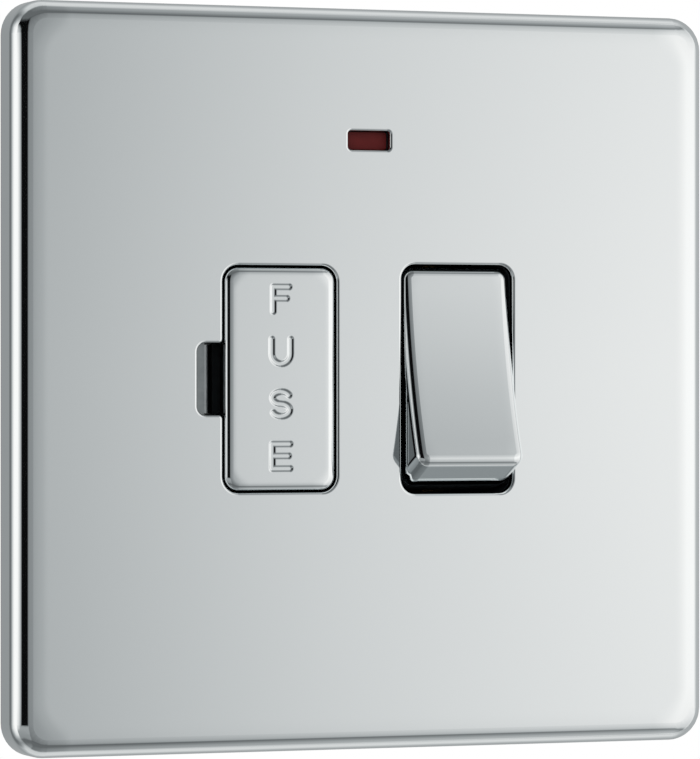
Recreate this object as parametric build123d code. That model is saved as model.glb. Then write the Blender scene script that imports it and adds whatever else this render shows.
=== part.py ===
from build123d import *
import os
from math import cos, radians, sin, tan

# Fused spur unit: a flush wiring accessory with a clip-on metal plate, a double-pole rocker switch,
# a pull-out fuse carrier and a neon lamp.
# Millimetres, +Z up. The front faces -Y, and the wall that it is screwed to is the plane Y = 0.

# Front plate, one pressed sheet
PLATE_SIDE = 95.0
PLATE_DEPTH = 6.0
PLATE_SHEET = 1.0
PLATE_CORNER_RADIUS = 4.3
PLATE_EDGE_RADIUS = 2.4

# Fuse link, a standard cartridge
FUSE_LENGTH = 25.4
FUSE_CAP_RADIUS = 3.175
FUSE_CAP_LENGTH = 6.0
FUSE_CAP_SHEET = 0.3
FUSE_CAP_FIT = 0.02

# Fuse carrier and its cover
CARRIER_WALL = 1.45
CARRIER_GAP = 0.2
CARRIER_FRONT_WALL = 3.2
FUSE_END_GAP = 0.1
FUSE_HOLD = 1.2
CRADLE_FIT = 0.05
CRADLE_THICKNESS = 2.0
CRADLE_SPACING = 7.0
COVER_PROUD = 0.3
COVER_DEPTH = 3.0
COVER_SHEET = 0.9
COVER_EDGE_RADIUS = 1.0
FUSE_CORNER_RADIUS = 2.1
COVER_FIT = 0.05
LEVER_GROOVE_DEPTH = 1.0
LEVER_GROOVE_WIDTH = 2.0

# Openings in the front plate
CONTROL_SPACING = 24.4
CUTOUT_WIDTH = 15.5
CUTOUT_EDGE_ROUND = 0.35
NOTCH_REACH = 3.4
NOTCH_HEIGHT = 9.1
NOTCH_CORNER_RADIUS = 1.1
NOTCH_MOUTH_RADIUS = 0.5
WINDOW_WIDTH = 5.7
WINDOW_HEIGHT = 2.4
WINDOW_RISE = 30.55
WINDOW_CORNER_RADIUS = 0.4

# Mounting frame, moulded
FRAME_GAP = 0.3
FACE_GAP = 0.2
FRAME_WEB = 1.8
FRAME_RIM = 1.8
FRAME_RIB = 1.2
RIB_SPACING = 16.0
CLIP_GAP = 0.05
CLIP_LENGTH = 8.0
CLIP_SLOT = 1.0
CLIP_SPACING = 50.0
FIXING_SPACING = 60.3
FIXING_HOLE_RADIUS = 2.15
FIXING_HEAD_RADIUS = 3.6
FIXING_BOSS_RADIUS = 4.6
WELL_WALL = 1.2
NOTCH_LEDGE = 2.0
NOTCH_DEPTH = 5.6
NOTCH_WALL = 0.8
SKIRT_WALL = 1.0
SKIRT_DEPTH = 2.0
FIT_GAP = 0.2

# Rocker: a metal cap on a moulded dolly
ROCKER_SWING = 13.0
ROCKER_SIDE_GAP = 0.3
ROCKER_END_GAP = 0.4
ROCKER_OPENING_HEIGHT = 29.5
ROCKER_CORNER_RADIUS = 1.9
PIVOT_DEPTH = 5.4
FACE_REACH = 7.95
DISH_DEPTH = 1.0
CAP_DEPTH = 6.5
CAP_SHEET = 1.0
CAP_EDGE_RADIUS = 1.2
CAP_FIT = 0.05
DOLLY_TAIL = 2.0
SKIRT_GAP = 0.35
PIN_RADIUS = 1.2
PIN_FIT = 0.05
PIN_BEARING = 0.9
PIN_WALL = 1.4

# Spring plungers in the dolly
POLE_SPACING = 8.0
LEG_RADIUS = 2.0
LEG_REACH = 7.0
LEG_BORE_RADIUS = 1.3
LEG_BORE_DEPTH = 5.5
PLUNGER_REACH = 9.0
PLUNGER_LENGTH = 3.0
PLUNGER_RADIUS = 1.15
SPIGOT_RADIUS = 0.55
SPIGOT_LENGTH = 2.0
SPRING_RADIUS = 0.95
SPRING_WIRE_RADIUS = 0.2
SPRING_TURNS = 3.5
SPRING_WIRE_SIDES = 6

# Rocking contacts
PLUNGER_GAP = 0.3
ROCKING_SHEET = 1.2
ROCKING_WIDTH = 4.0
ROCKING_ARM = 8.0
ROCKING_END = 1.4
ROCKING_TAIL = 6.0
ROCKING_SWING = 13.0
WING_ANGLE = 16.0
FULCRUM_FIT = 0.05
RIVET_RADIUS = 1.3
RIVET_HEIGHT = 0.6
CONTACT_GAP = 0.15

# Conductor strips and fuse clips, cut and folded from sheet
STRIP_SHEET = 0.8
STRIP_WIDTH = 4.0
STRIP_CORNER_RADIUS = 0.6
STRIP_GAP = 0.15
CLIP_SHEET = 0.7
CLIP_FIT = 0.06
CLIP_WIDTH = 4.0
CLIP_ARM = 1.8
CLIP_MOUTH = 0.8
FUSE_SEAT_GAP = 0.15
LEAF_SHEET = 0.4
LEAF_WIDTH = 3.8
LEAF_LENGTH = 27.0
LEAF_BEND_RADIUS = 0.7
LEAF_LEG = 0.6
PIP_RADIUS = 1.2
PIP_GAP = 0.05

# Terminals
TERMINAL_PITCH = 15.0
TERMINAL_WIDTH = 9.0
TERMINAL_LENGTH = 9.0
TERMINAL_EDGE = 0.4
WIRE_BORE_RADIUS = 2.1
WIRE_BORE_FLOOR = 0.9
THREAD_LENGTH = 2.2
POCKET_GAP = 0.2
TERMINAL_SCREW_RADIUS = 1.7
TERMINAL_HEAD_RADIUS = 2.6
TERMINAL_HEAD_HEIGHT = 1.8
SCREW_FIT = 0.05
SCREW_SLOT_WIDTH = 0.8
SCREW_SLOT_DEPTH = 0.7

# Rear housing, moulded
HOUSING_WALL = 1.6
HOUSING_CORNER_RADIUS = 3.0
TERMINAL_FLOOR = 1.5
DIVIDER = 1.5
CENTRE_ROOM = 2.0
HEAD_ROOM = 0.3
PAD_RADIUS = 1.8
COLUMN_RADIUS = 2.3
COLUMN_MEET = 4.0
HOUSING_SCREW_RADIUS = 1.25
HOUSING_HEAD_RADIUS = 2.0
HOUSING_HEAD_HEIGHT = 1.5
HOUSING_SCREW_SEAT = 3.0
HOUSING_SCREW_END = 1.0

# Neon lamp behind its window
LENS_FIT = 0.1
LENS_RECESS = 1.2
LENS_FLANGE = 1.0
LENS_FLANGE_SIDE = 1.0
LENS_ROOM = 0.1
LAMP_RADIUS = 2.0
LAMP_LENGTH = 10.0
LAMP_FIT = 0.05
LAMP_GAP = 0.3
FORK_THICKNESS = 1.0
FORK_WALL = 1.2
FORK_SPACING = 5.0
LEAD_RADIUS = 0.35
LEAD_SPACING = 1.8
LEAD_BEND_RADIUS = 2.0
LEAD_STRAIGHT = 0.6
RESISTOR_RADIUS = 1.0
RESISTOR_LENGTH = 6.0
RESISTOR_EDGE_RADIUS = 0.3

# Depths that follow, counted from the wall plane, back being positive
FRONT = -PLATE_DEPTH
PLATE_BACK = FRONT + PLATE_SHEET
WEB_FRONT = PLATE_BACK + FACE_GAP
WEB_BACK = WEB_FRONT + FRAME_WEB
PIVOT_Y = FRONT + PIVOT_DEPTH
WELL_BACK = PIVOT_Y + PIN_RADIUS + PIN_WALL
ROCKING_FRONT = PIVOT_Y + PLUNGER_REACH + PLUNGER_GAP
FULCRUM_Y = ROCKING_FRONT + ROCKING_SHEET / cos(radians(WING_ANGLE))
CLOSED_ANGLE = radians(WING_ANGLE - ROCKING_SWING)
RIVET_FACE_Y = FULCRUM_Y - ROCKING_ARM * sin(CLOSED_ANGLE) + RIVET_HEIGHT * cos(CLOSED_ANGLE)
CONTACT_Y = RIVET_FACE_Y + CONTACT_GAP
CONTACT_Z = ROCKING_ARM * cos(CLOSED_ANGLE) + RIVET_HEIGHT * sin(CLOSED_ANGLE)
STRIP_FRONT = CONTACT_Y + RIVET_HEIGHT
STRIP_BACK = STRIP_FRONT + STRIP_SHEET
FUSE_Y = STRIP_FRONT - CLIP_SHEET - FUSE_SEAT_GAP - FUSE_CAP_RADIUS
BORE_Y = STRIP_BACK + WIRE_BORE_FLOOR + WIRE_BORE_RADIUS
BORE_BACK = BORE_Y + WIRE_BORE_RADIUS
TERMINAL_BACK = BORE_BACK + THREAD_LENGTH
HEAD_SEAT = TERMINAL_BACK + THREAD_LENGTH
HOUSING_BACK = HEAD_SEAT + TERMINAL_HEAD_HEIGHT + HEAD_ROOM
FLOOR_FRONT = STRIP_FRONT - TERMINAL_FLOOR
CENTRE_INNER = STRIP_BACK + CENTRE_ROOM
CENTRE_BACK = CENTRE_INNER + HOUSING_WALL
SCREW_SEAT_Y = FLOOR_FRONT + HOUSING_SCREW_SEAT

# Widths and heights that follow
FUSE_X = -CONTROL_SPACING / 2
ROCKER_X = CONTROL_SPACING / 2
FUSE_OPENING_HEIGHT = FUSE_LENGTH + 2 * (FUSE_END_GAP + CARRIER_WALL + CARRIER_GAP)
OPENINGS = {
    FUSE_X: (FUSE_OPENING_HEIGHT, FUSE_CORNER_RADIUS),
    ROCKER_X: (ROCKER_OPENING_HEIGHT, ROCKER_CORNER_RADIUS),
}
CARRIER_WIDTH = CUTOUT_WIDTH - 2 * CARRIER_GAP
CARRIER_HEIGHT = FUSE_OPENING_HEIGHT - 2 * CARRIER_GAP
CARRIER_CORNER_RADIUS = FUSE_CORNER_RADIUS - CARRIER_GAP
CARRIER_BACK = FUSE_Y + FUSE_HOLD
COVER_FRONT = FRONT - COVER_PROUD
COVER_RIM = COVER_FRONT + COVER_DEPTH
CLIP_Z = (FUSE_LENGTH - FUSE_CAP_LENGTH) / 2
NOTCH_LEFT = FUSE_X - CUTOUT_WIDTH / 2 - NOTCH_REACH
FRAME_NOTCH_LEFT = NOTCH_LEFT + NOTCH_LEDGE
INNER_HALF_WIDTH = NOTCH_WALL + FIT_GAP - FRAME_NOTCH_LEFT
HOUSING_HALF_WIDTH = INNER_HALF_WIDTH + HOUSING_WALL
INNER_HALF_HEIGHT = WINDOW_RISE + WINDOW_HEIGHT / 2 + LENS_ROOM
HOUSING_HALF_HEIGHT = INNER_HALF_HEIGHT + HOUSING_WALL
POCKET_INNER = HOUSING_HALF_HEIGHT - TERMINAL_LENGTH - POCKET_GAP
CENTRE_HALF_HEIGHT = POCKET_INNER - DIVIDER
TERMINAL_Z = HOUSING_HALF_HEIGHT - TERMINAL_LENGTH / 2
TOWER_HALF_WIDTH = TERMINAL_PITCH + TERMINAL_WIDTH / 2 + POCKET_GAP + HOUSING_WALL
RUN_Z = CENTRE_HALF_HEIGHT - STRIP_WIDTH / 2 - STRIP_GAP
FRAME_HALF = PLATE_SIDE / 2 - PLATE_SHEET - FRAME_GAP
FRAME_CORNER_RADIUS = PLATE_CORNER_RADIUS - PLATE_SHEET - FRAME_GAP
LIVE_X = ROCKER_X - POLE_SPACING / 2
NEUTRAL_X = ROCKER_X + POLE_SPACING / 2
ROCKER_WIDTH = CUTOUT_WIDTH - 2 * ROCKER_SIDE_GAP
SWING = radians(ROCKER_SWING)
ROCKER_HALF = (ROCKER_OPENING_HEIGHT / 2 - ROCKER_END_GAP - FACE_REACH * sin(SWING)) / cos(SWING)
CAP_CORNER_RADIUS = ROCKER_CORNER_RADIUS - ROCKER_SIDE_GAP
SKIRT_RADIUS = ROCKER_OPENING_HEIGHT / 2 - SKIRT_GAP
LAMP_Y = WEB_BACK + LENS_FLANGE + LAMP_GAP + LAMP_RADIUS
LAMP_BOTTOM = INNER_HALF_HEIGHT - LAMP_LENGTH - FIT_GAP
STRAP_LEFT = -INNER_HALF_WIDTH
INNER_CORNER_RADIUS = HOUSING_CORNER_RADIUS - HOUSING_WALL
EARTH_TAB_HIGH = INNER_HALF_HEIGHT - INNER_CORNER_RADIUS - FIT_GAP
EARTH_TAB_LOW = EARTH_TAB_HIGH - STRIP_WIDTH
COLUMNS = [(side * TERMINAL_PITCH / 2, end * TERMINAL_Z) for side in (-1, 1) for end in (-1, 1)]
TERMINALS = {"earth": -TERMINAL_PITCH, "live": 0.0, "neutral": TERMINAL_PITCH}
SIDES = {"supply": 1, "load": -1}
TOLERANCE = 0.001


def front_sketch_plane(depth):
    """A plane at one depth, drawn on as seen from the front: X to the right and Z up."""
    return Plane(origin=(0, depth, 0), x_dir=(1, 0, 0), z_dir=(0, -1, 0))


def prism(outline, front, back):
    """An outline in X and Z, given its thickness from a front depth to a back depth."""
    return extrude(front_sketch_plane(back) * outline, amount=back - front, dir=(0, -1, 0))


def rounded(width, height, radius, x=0.0, z=0.0):
    return Pos(x, z) * RectangleRounded(width, height, radius)


def span(left, right, low, high, radius=0.0):
    """A rectangle from its four sides, with round corners where a radius is given."""
    centre = Pos((left + right) / 2, (low + high) / 2)
    if radius:
        return centre * RectangleRounded(right - left, high - low, radius)
    return centre * Rectangle(right - left, high - low)


def side_prism(outline, left, right):
    """An outline in Y and Z, given its thickness from left to right."""
    plane = Plane(origin=(left, 0, 0), x_dir=(0, 1, 0), z_dir=(1, 0, 0))
    return extrude(plane * outline, amount=right - left, dir=(1, 0, 0))


def plan_prism(outline, low, high):
    """An outline in X and Y, given its height."""
    return extrude(Plane.XY.offset(low) * outline, amount=high - low, dir=(0, 0, 1))


def peg(radius, x, z, front, back):
    """A round peg that lies front to back."""
    return prism(Pos(x, z) * Circle(radius), front, back)


def lathe(profile, x, z):
    """A profile of radius and depth points, turned about a front-to-back axis."""
    plane = Plane(origin=(x, 0, z), x_dir=(1, 0, 0), z_dir=(0, 0, 1))
    axis = Axis((x, 0, z), (0, 1, 0))
    return revolve(plane * profile, axis)


def turned(solid, pivot_y, degrees):
    """A solid turned about a left-to-right axis at Z = 0."""
    return Pos(0, pivot_y, 0) * Rot(X=degrees) * Pos(0, -pivot_y, 0) * solid


def edges_at(solid, depth):
    """The edges that lie at one depth."""
    return solid.edges().filter_by_position(Axis.Y, depth - TOLERANCE, depth + TOLERANCE)


def cutout(x):
    height, radius = OPENINGS[x]
    return rounded(CUTOUT_WIDTH, height, radius, x)


def notch(left):
    """The lever notch beside the fuse opening, from its left end into the opening."""
    return span(left, FUSE_X, -NOTCH_HEIGHT / 2, NOTCH_HEIGHT / 2, NOTCH_CORNER_RADIUS)


def fuse_opening(notch_left):
    """The fuse opening and its lever notch as one outline, with the notch's mouth rounded."""
    outline = cutout(FUSE_X) + notch(notch_left)
    left, half = FUSE_X - CUTOUT_WIDTH / 2, NOTCH_HEIGHT / 2
    mouth = outline.vertices().filter_by_position(Axis.X, left - TOLERANCE, left + TOLERANCE)
    mouth = mouth.filter_by_position(Axis.Y, -half - TOLERANCE, half + TOLERANCE)
    return fillet(mouth, NOTCH_MOUTH_RADIUS)


def lamp_window():
    return rounded(WINDOW_WIDTH, WINDOW_HEIGHT, WINDOW_CORNER_RADIUS, 0, WINDOW_RISE)


def front_plate():
    """A shallow pressed tray with a rolled edge and three openings."""
    plate = prism(rounded(PLATE_SIDE, PLATE_SIDE, PLATE_CORNER_RADIUS), FRONT, 0)
    plate = fillet(edges_at(plate, FRONT), PLATE_EDGE_RADIUS)
    inner_side = PLATE_SIDE - 2 * PLATE_SHEET
    hollow = prism(rounded(inner_side, inner_side, PLATE_CORNER_RADIUS - PLATE_SHEET), PLATE_BACK, 0)
    hollow = fillet(edges_at(hollow, PLATE_BACK), PLATE_EDGE_RADIUS - PLATE_SHEET)
    plate -= hollow
    for outline in (fuse_opening(NOTCH_LEFT), cutout(ROCKER_X), lamp_window()):
        plate -= prism(outline, FRONT, PLATE_BACK)
    inside = PLATE_SIDE / 2 - PLATE_EDGE_RADIUS - CUTOUT_EDGE_ROUND
    lips = [edge for edge in edges_at(plate, FRONT) if abs(edge.center().X) < inside]
    lips = [edge for edge in lips if abs(edge.center().Z) < inside]
    return fillet(lips, CUTOUT_EDGE_ROUND)


def frame_clip(side, z):
    """A snap nib on the rim's flank, and the two slots beside it that let the rim give."""
    reach = FRAME_GAP - CLIP_GAP
    outer = side * FRAME_HALF
    nib = Polygon((outer, WEB_BACK), (outer, 0), (outer + side * reach, WEB_BACK / 2), align=None)
    slots = Part()
    for end in (-1, 1):
        middle = z + end * (CLIP_LENGTH + CLIP_SLOT) / 2
        slot = span(outer - FRAME_RIM, outer + FRAME_RIM, middle - CLIP_SLOT / 2, middle + CLIP_SLOT / 2)
        slots += prism(slot, WEB_BACK, 0)
    return plan_prism(nib, z - CLIP_LENGTH / 2, z + CLIP_LENGTH / 2), slots


def control_well(x):
    """The walls that guide a control behind its opening, without the space inside."""
    height, radius = OPENINGS[x]
    outer = rounded(CUTOUT_WIDTH + 2 * WELL_WALL, height + 2 * WELL_WALL, radius + WELL_WALL, x)
    return prism(outer, WEB_FRONT, WELL_BACK)


def lamp_fork(z):
    """A moulded fork that the lamp's glass lies in."""
    half = LAMP_RADIUS + FORK_WALL
    fork = prism(span(-half, half, z - FORK_THICKNESS / 2, z + FORK_THICKNESS / 2), WEB_BACK, LAMP_Y)
    return fork - lamp_bore()


def lamp_bore():
    bore = Pos(0, LAMP_Y) * Circle(LAMP_RADIUS + LAMP_FIT)
    return plan_prism(bore, LAMP_BOTTOM - LAMP_FIT, INNER_HALF_HEIGHT)


def earth_arm_outline():
    """The earth strap's forward arm where it passes the frame, with its clearance."""
    low, high = earth_arm_heights()
    return span(
        STRAP_LEFT - FIT_GAP,
        STRAP_LEFT + STRIP_SHEET + FIT_GAP,
        low - FIT_GAP,
        high + FIT_GAP,
    )


def earth_arm_heights():
    """The lowest and highest point of the earth strap's forward arm, just above the fuse well."""
    low = FUSE_OPENING_HEIGHT / 2 + WELL_WALL
    return low, low + STRIP_WIDTH


def leaf_outline(gap=0.0):
    """The earth leaf as seen from the front."""
    right = FRAME_NOTCH_LEFT - LEAF_BEND_RADIUS
    high = earth_arm_heights()[1] + STRIP_GAP
    return span(right - LEAF_WIDTH - gap, right + gap, high - LEAF_LENGTH - gap, high + gap)


def mounting_frame():
    """The moulded frame: web, rim, fixing bosses, control wells, notch tub and locating skirt."""
    side = 2 * FRAME_HALF
    frame = prism(rounded(side, side, FRAME_CORNER_RADIUS), WEB_FRONT, 0)
    frame = fillet(edges_at(frame, WEB_FRONT), PLATE_EDGE_RADIUS - PLATE_SHEET)
    inner = side - 2 * FRAME_RIM
    inner_radius = max(FRAME_CORNER_RADIUS - FRAME_RIM, FRAME_RIM / 2)
    frame -= prism(rounded(inner, inner, inner_radius), WEB_BACK, 0)

    reach = (HOUSING_HALF_HEIGHT + FIT_GAP, FRAME_HALF - FRAME_RIM)
    for x in (-RIB_SPACING, 0, RIB_SPACING):
        for end in (-1, 1):
            low, high = sorted(end * z for z in reach)
            frame += prism(span(x - FRAME_RIB / 2, x + FRAME_RIB / 2, low, high), WEB_BACK, 0)
    for end in (-1, 1):
        boss_x = end * FIXING_SPACING / 2
        frame += peg(FIXING_BOSS_RADIUS, boss_x, 0, WEB_FRONT, 0)

    for x in (FUSE_X, ROCKER_X):
        frame += control_well(x)
    tub = span(
        FRAME_NOTCH_LEFT - NOTCH_WALL,
        FUSE_X,
        -NOTCH_HEIGHT / 2 - NOTCH_WALL,
        NOTCH_HEIGHT / 2 + NOTCH_WALL,
    )
    notch_floor = FRONT + NOTCH_DEPTH
    frame += prism(tub, WEB_FRONT, notch_floor + NOTCH_WALL)
    frame -= prism(cutout(FUSE_X), WEB_FRONT, WELL_BACK)
    frame -= prism(cutout(ROCKER_X), WEB_FRONT, WELL_BACK)
    frame -= prism(notch(FRAME_NOTCH_LEFT), WEB_FRONT, notch_floor)

    skirt_width = 2 * (INNER_HALF_WIDTH - FIT_GAP)
    skirt_height = 2 * (INNER_HALF_HEIGHT - FIT_GAP)
    skirt = rounded(skirt_width, skirt_height, INNER_CORNER_RADIUS)
    skirt -= Rectangle(skirt_width - 2 * SKIRT_WALL, skirt_height - 2 * SKIRT_WALL)
    frame += prism(skirt, WEB_BACK, WEB_BACK + SKIRT_DEPTH)
    for x, z in COLUMNS:
        frame += peg(COLUMN_RADIUS, x, z, WEB_BACK, COLUMN_MEET)
        frame -= peg(HOUSING_SCREW_RADIUS + SCREW_FIT, x, z, WEB_BACK + HOUSING_SCREW_END, COLUMN_MEET)
    for step in (0, 1):
        frame += lamp_fork(LAMP_BOTTOM + FORK_SPACING / 2 + step * FORK_SPACING)

    flange_half = WINDOW_WIDTH / 2 + LENS_FLANGE_SIDE + LENS_FIT
    flange_low = WINDOW_RISE - WINDOW_HEIGHT / 2 - LENS_FIT
    flange_room = span(-flange_half, flange_half, flange_low, INNER_HALF_HEIGHT)
    frame -= prism(flange_room, WEB_BACK, WEB_BACK + SKIRT_DEPTH)
    frame -= lamp_bore()
    frame -= prism(lamp_window(), WEB_FRONT, WEB_BACK)
    frame -= prism(earth_arm_outline(), WEB_FRONT, WEB_BACK + SKIRT_DEPTH)
    frame -= prism(leaf_outline(FIT_GAP), WEB_FRONT, WEB_FRONT + LEAF_SHEET)
    turned_edge = span(FRAME_NOTCH_LEFT - LEAF_BEND_RADIUS, FUSE_X, -NOTCH_HEIGHT / 2, NOTCH_HEIGHT / 2)
    frame -= prism(turned_edge, WEB_FRONT, WEB_FRONT + LEAF_BEND_RADIUS + LEAF_LEG + FIT_GAP)
    sink_back = WEB_FRONT + FIXING_HEAD_RADIUS - FIXING_HOLE_RADIUS
    sink = Polygon(
        (0, WEB_FRONT),
        (FIXING_HEAD_RADIUS, WEB_FRONT),
        (FIXING_HOLE_RADIUS, sink_back),
        (0, sink_back),
        align=None,
    )
    for end in (-1, 1):
        x = end * FIXING_SPACING / 2
        frame -= peg(FIXING_HOLE_RADIUS, x, 0, WEB_FRONT, 0)
        frame -= lathe(sink, x, 0)
    bearing = side_prism(
        Pos(PIVOT_Y, 0) * Circle(PIN_RADIUS + PIN_FIT),
        ROCKER_X - CUTOUT_WIDTH / 2 - WELL_WALL,
        ROCKER_X + CUTOUT_WIDTH / 2 + WELL_WALL,
    )
    frame -= bearing
    for flank in (-1, 1):
        for end in (-1, 1):
            nib, slots = frame_clip(flank, end * CLIP_SPACING / 2)
            frame += nib
            frame -= slots
    return frame


def strip_outlines():
    """Every conductor strip as seen from the front, by name."""
    half = STRIP_WIDTH / 2
    rivet_low = CONTACT_Z - half
    tail = HOUSING_HALF_HEIGHT - TERMINAL_EDGE
    clip_top = CLIP_Z + CLIP_WIDTH / 2
    clip_low = CLIP_Z - CLIP_WIDTH / 2
    live_supply = span(LIVE_X - half, LIVE_X + half, rivet_low, RUN_Z + half)
    live_supply += span(-half, LIVE_X + half, RUN_Z - half, RUN_Z + half)
    live_supply += span(-half, half, RUN_Z - half, tail)
    live_link = span(FUSE_X - half, LIVE_X + half, -half, half)
    live_link += span(FUSE_X - half, FUSE_X + half, -half, clip_top)
    live_load = span(FUSE_X - half, FUSE_X + half, -RUN_Z - half, -clip_low)
    live_load += span(FUSE_X - half, half, -RUN_Z - half, -RUN_Z + half)
    live_load += span(-half, half, -tail, -RUN_Z + half)
    neutral_supply = span(NEUTRAL_X - half, NEUTRAL_X + half, rivet_low, tail)
    neutral_load = span(NEUTRAL_X - half, NEUTRAL_X + half, -tail, half)
    return {
        "live_supply_strip": live_supply,
        "live_link_strip": live_link,
        "live_load_strip": live_load,
        "neutral_supply_strip": neutral_supply,
        "neutral_load_strip": neutral_load,
    }


def strip_room(outline):
    """The space that a strip takes up in the housing, with its clearance."""
    wider = offset(outline, amount=STRIP_GAP, kind=Kind.INTERSECTION)
    return prism(wider, STRIP_FRONT, STRIP_BACK + STRIP_GAP)


def fulcrum(x):
    """The folded-up tongue that a rocking contact tips on, with its round edge."""
    half = STRIP_SHEET / 2
    blade = span(FULCRUM_Y, STRIP_FRONT, -half, half) + Pos(FULCRUM_Y, 0) * Circle(half)
    return side_prism(blade, x - STRIP_WIDTH / 2, x + STRIP_WIDTH / 2)


def conductor_strips():
    solids = {name: prism(outline, STRIP_FRONT, STRIP_BACK) for name, outline in strip_outlines().items()}
    for name in solids:
        corners = solids[name].edges().filter_by(Axis.Y)
        solids[name] = fillet(corners, STRIP_CORNER_RADIUS)
    solids["live_link_strip"] += fulcrum(LIVE_X)
    solids["neutral_load_strip"] += fulcrum(NEUTRAL_X)
    return solids


def earth_strap():
    """A strip on edge along the housing's side, with a tab under each earth terminal and a forward arm."""
    left, right = STRAP_LEFT, STRAP_LEFT + STRIP_SHEET
    web = span(STRIP_BACK - STRIP_WIDTH, STRIP_BACK, -EARTH_TAB_HIGH, EARTH_TAB_HIGH)
    low, high = earth_arm_heights()
    web += span(WEB_FRONT + LEAF_SHEET, STRIP_BACK, low, high)
    strap = side_prism(web, left, right)
    for end in SIDES.values():
        strap += prism(earth_tab(end), STRIP_FRONT, STRIP_BACK)
    return strap


def earth_tab(end):
    """The tab of the earth strap that lies under an earth terminal, as seen from the front."""
    low, high = sorted((end * EARTH_TAB_LOW, end * EARTH_TAB_HIGH))
    return span(STRAP_LEFT, TERMINALS["earth"] + STRIP_WIDTH / 2, low, high)


def earth_leaf():
    """A springy leaf between the frame and the plate, its edge turned down into the lever notch."""
    outline = leaf_outline()
    front, back = WEB_FRONT, WEB_FRONT + LEAF_SHEET
    leaf = prism(outline, front, back)
    bend_x = FRAME_NOTCH_LEFT - LEAF_BEND_RADIUS
    bend_y = front + LEAF_BEND_RADIUS
    bend = Pos(bend_x, bend_y) * (Circle(LEAF_BEND_RADIUS) - Circle(LEAF_BEND_RADIUS - LEAF_SHEET))
    leg_right = bend_x + LEAF_BEND_RADIUS
    corner = span(bend_x, leg_right, front, bend_y)
    leg = span(leg_right - LEAF_SHEET, leg_right, bend_y, bend_y + LEAF_LEG)
    half = NOTCH_HEIGHT / 2 - FIT_GAP
    leaf += plan_prism((bend & corner) + leg, -half, half)
    pip_z = (NOTCH_HEIGHT / 2 + earth_arm_heights()[0]) / 2
    pip_x = bend_x - LEAF_WIDTH / 2
    return leaf + peg(PIP_RADIUS, pip_x, pip_z, PLATE_BACK + PIP_GAP, front)


def fuse_clip(z):
    """A folded spring clip that grips one cap of the fuse link."""
    inner = FUSE_CAP_RADIUS + CLIP_FIT
    outer = inner + CLIP_SHEET
    base = STRIP_FRONT
    mouth = FUSE_Y - CLIP_ARM
    half_arm = [
        (0, base),
        (outer, base),
        (outer, mouth),
        (outer + CLIP_MOUTH, mouth - CLIP_MOUTH),
        (inner + CLIP_MOUTH, mouth - CLIP_MOUTH),
        (inner, mouth),
        (inner, base - CLIP_SHEET),
        (0, base - CLIP_SHEET),
    ]
    arm = Polygon(*half_arm, align=None)
    section = Pos(FUSE_X, 0) * (arm + mirror(arm, Plane.YZ))
    return plan_prism(section, z - CLIP_WIDTH / 2, z + CLIP_WIDTH / 2)


def terminal_block(x, end):
    """A brass block with a wire bore along Z and a tapped hole from behind."""
    half = TERMINAL_WIDTH / 2
    low, high = sorted((end * (HOUSING_HALF_HEIGHT - TERMINAL_LENGTH), end * HOUSING_HALF_HEIGHT))
    block = prism(span(x - half, x + half, low, high), STRIP_BACK, TERMINAL_BACK)
    block = chamfer(block.edges().filter_by(Axis.Z), TERMINAL_EDGE)
    block -= plan_prism(Pos(x, BORE_Y) * Circle(WIRE_BORE_RADIUS), low, high)
    return block - peg(TERMINAL_SCREW_RADIUS + SCREW_FIT, x, end * TERMINAL_Z, BORE_Y, TERMINAL_BACK)


def screw(x, z, radius, tip, seat, head_radius, head_height):
    """A slotted screw driven from behind: round shank, head on its seat."""
    point = radius / 2
    profile = Polygon(
        (0, tip),
        (radius - point, tip),
        (radius, tip + point),
        (radius, seat),
        (head_radius, seat),
        (head_radius, seat + head_height),
        (0, seat + head_height),
        align=None,
    )
    body = lathe(profile, x, z)
    back = seat + head_height
    slot = span(x - head_radius, x + head_radius, z - SCREW_SLOT_WIDTH / 2, z + SCREW_SLOT_WIDTH / 2)
    return body - prism(slot, back - SCREW_SLOT_DEPTH, back)


def terminal_screws():
    """Six screws, backed out until their tips are clear of the wire bores."""
    return Compound(
        [
            screw(
                x,
                end * TERMINAL_Z,
                TERMINAL_SCREW_RADIUS,
                BORE_BACK,
                HEAD_SEAT,
                TERMINAL_HEAD_RADIUS,
                TERMINAL_HEAD_HEIGHT,
            ).solid()
            for x in TERMINALS.values()
            for end in SIDES.values()
        ]
    )


def housing_screws():
    return Compound(
        [
            screw(
                x,
                z,
                HOUSING_SCREW_RADIUS,
                WEB_BACK + HOUSING_SCREW_END,
                SCREW_SEAT_Y,
                HOUSING_HEAD_RADIUS,
                HOUSING_HEAD_HEIGHT,
            ).solid()
            for x, z in COLUMNS
        ]
    )


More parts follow.
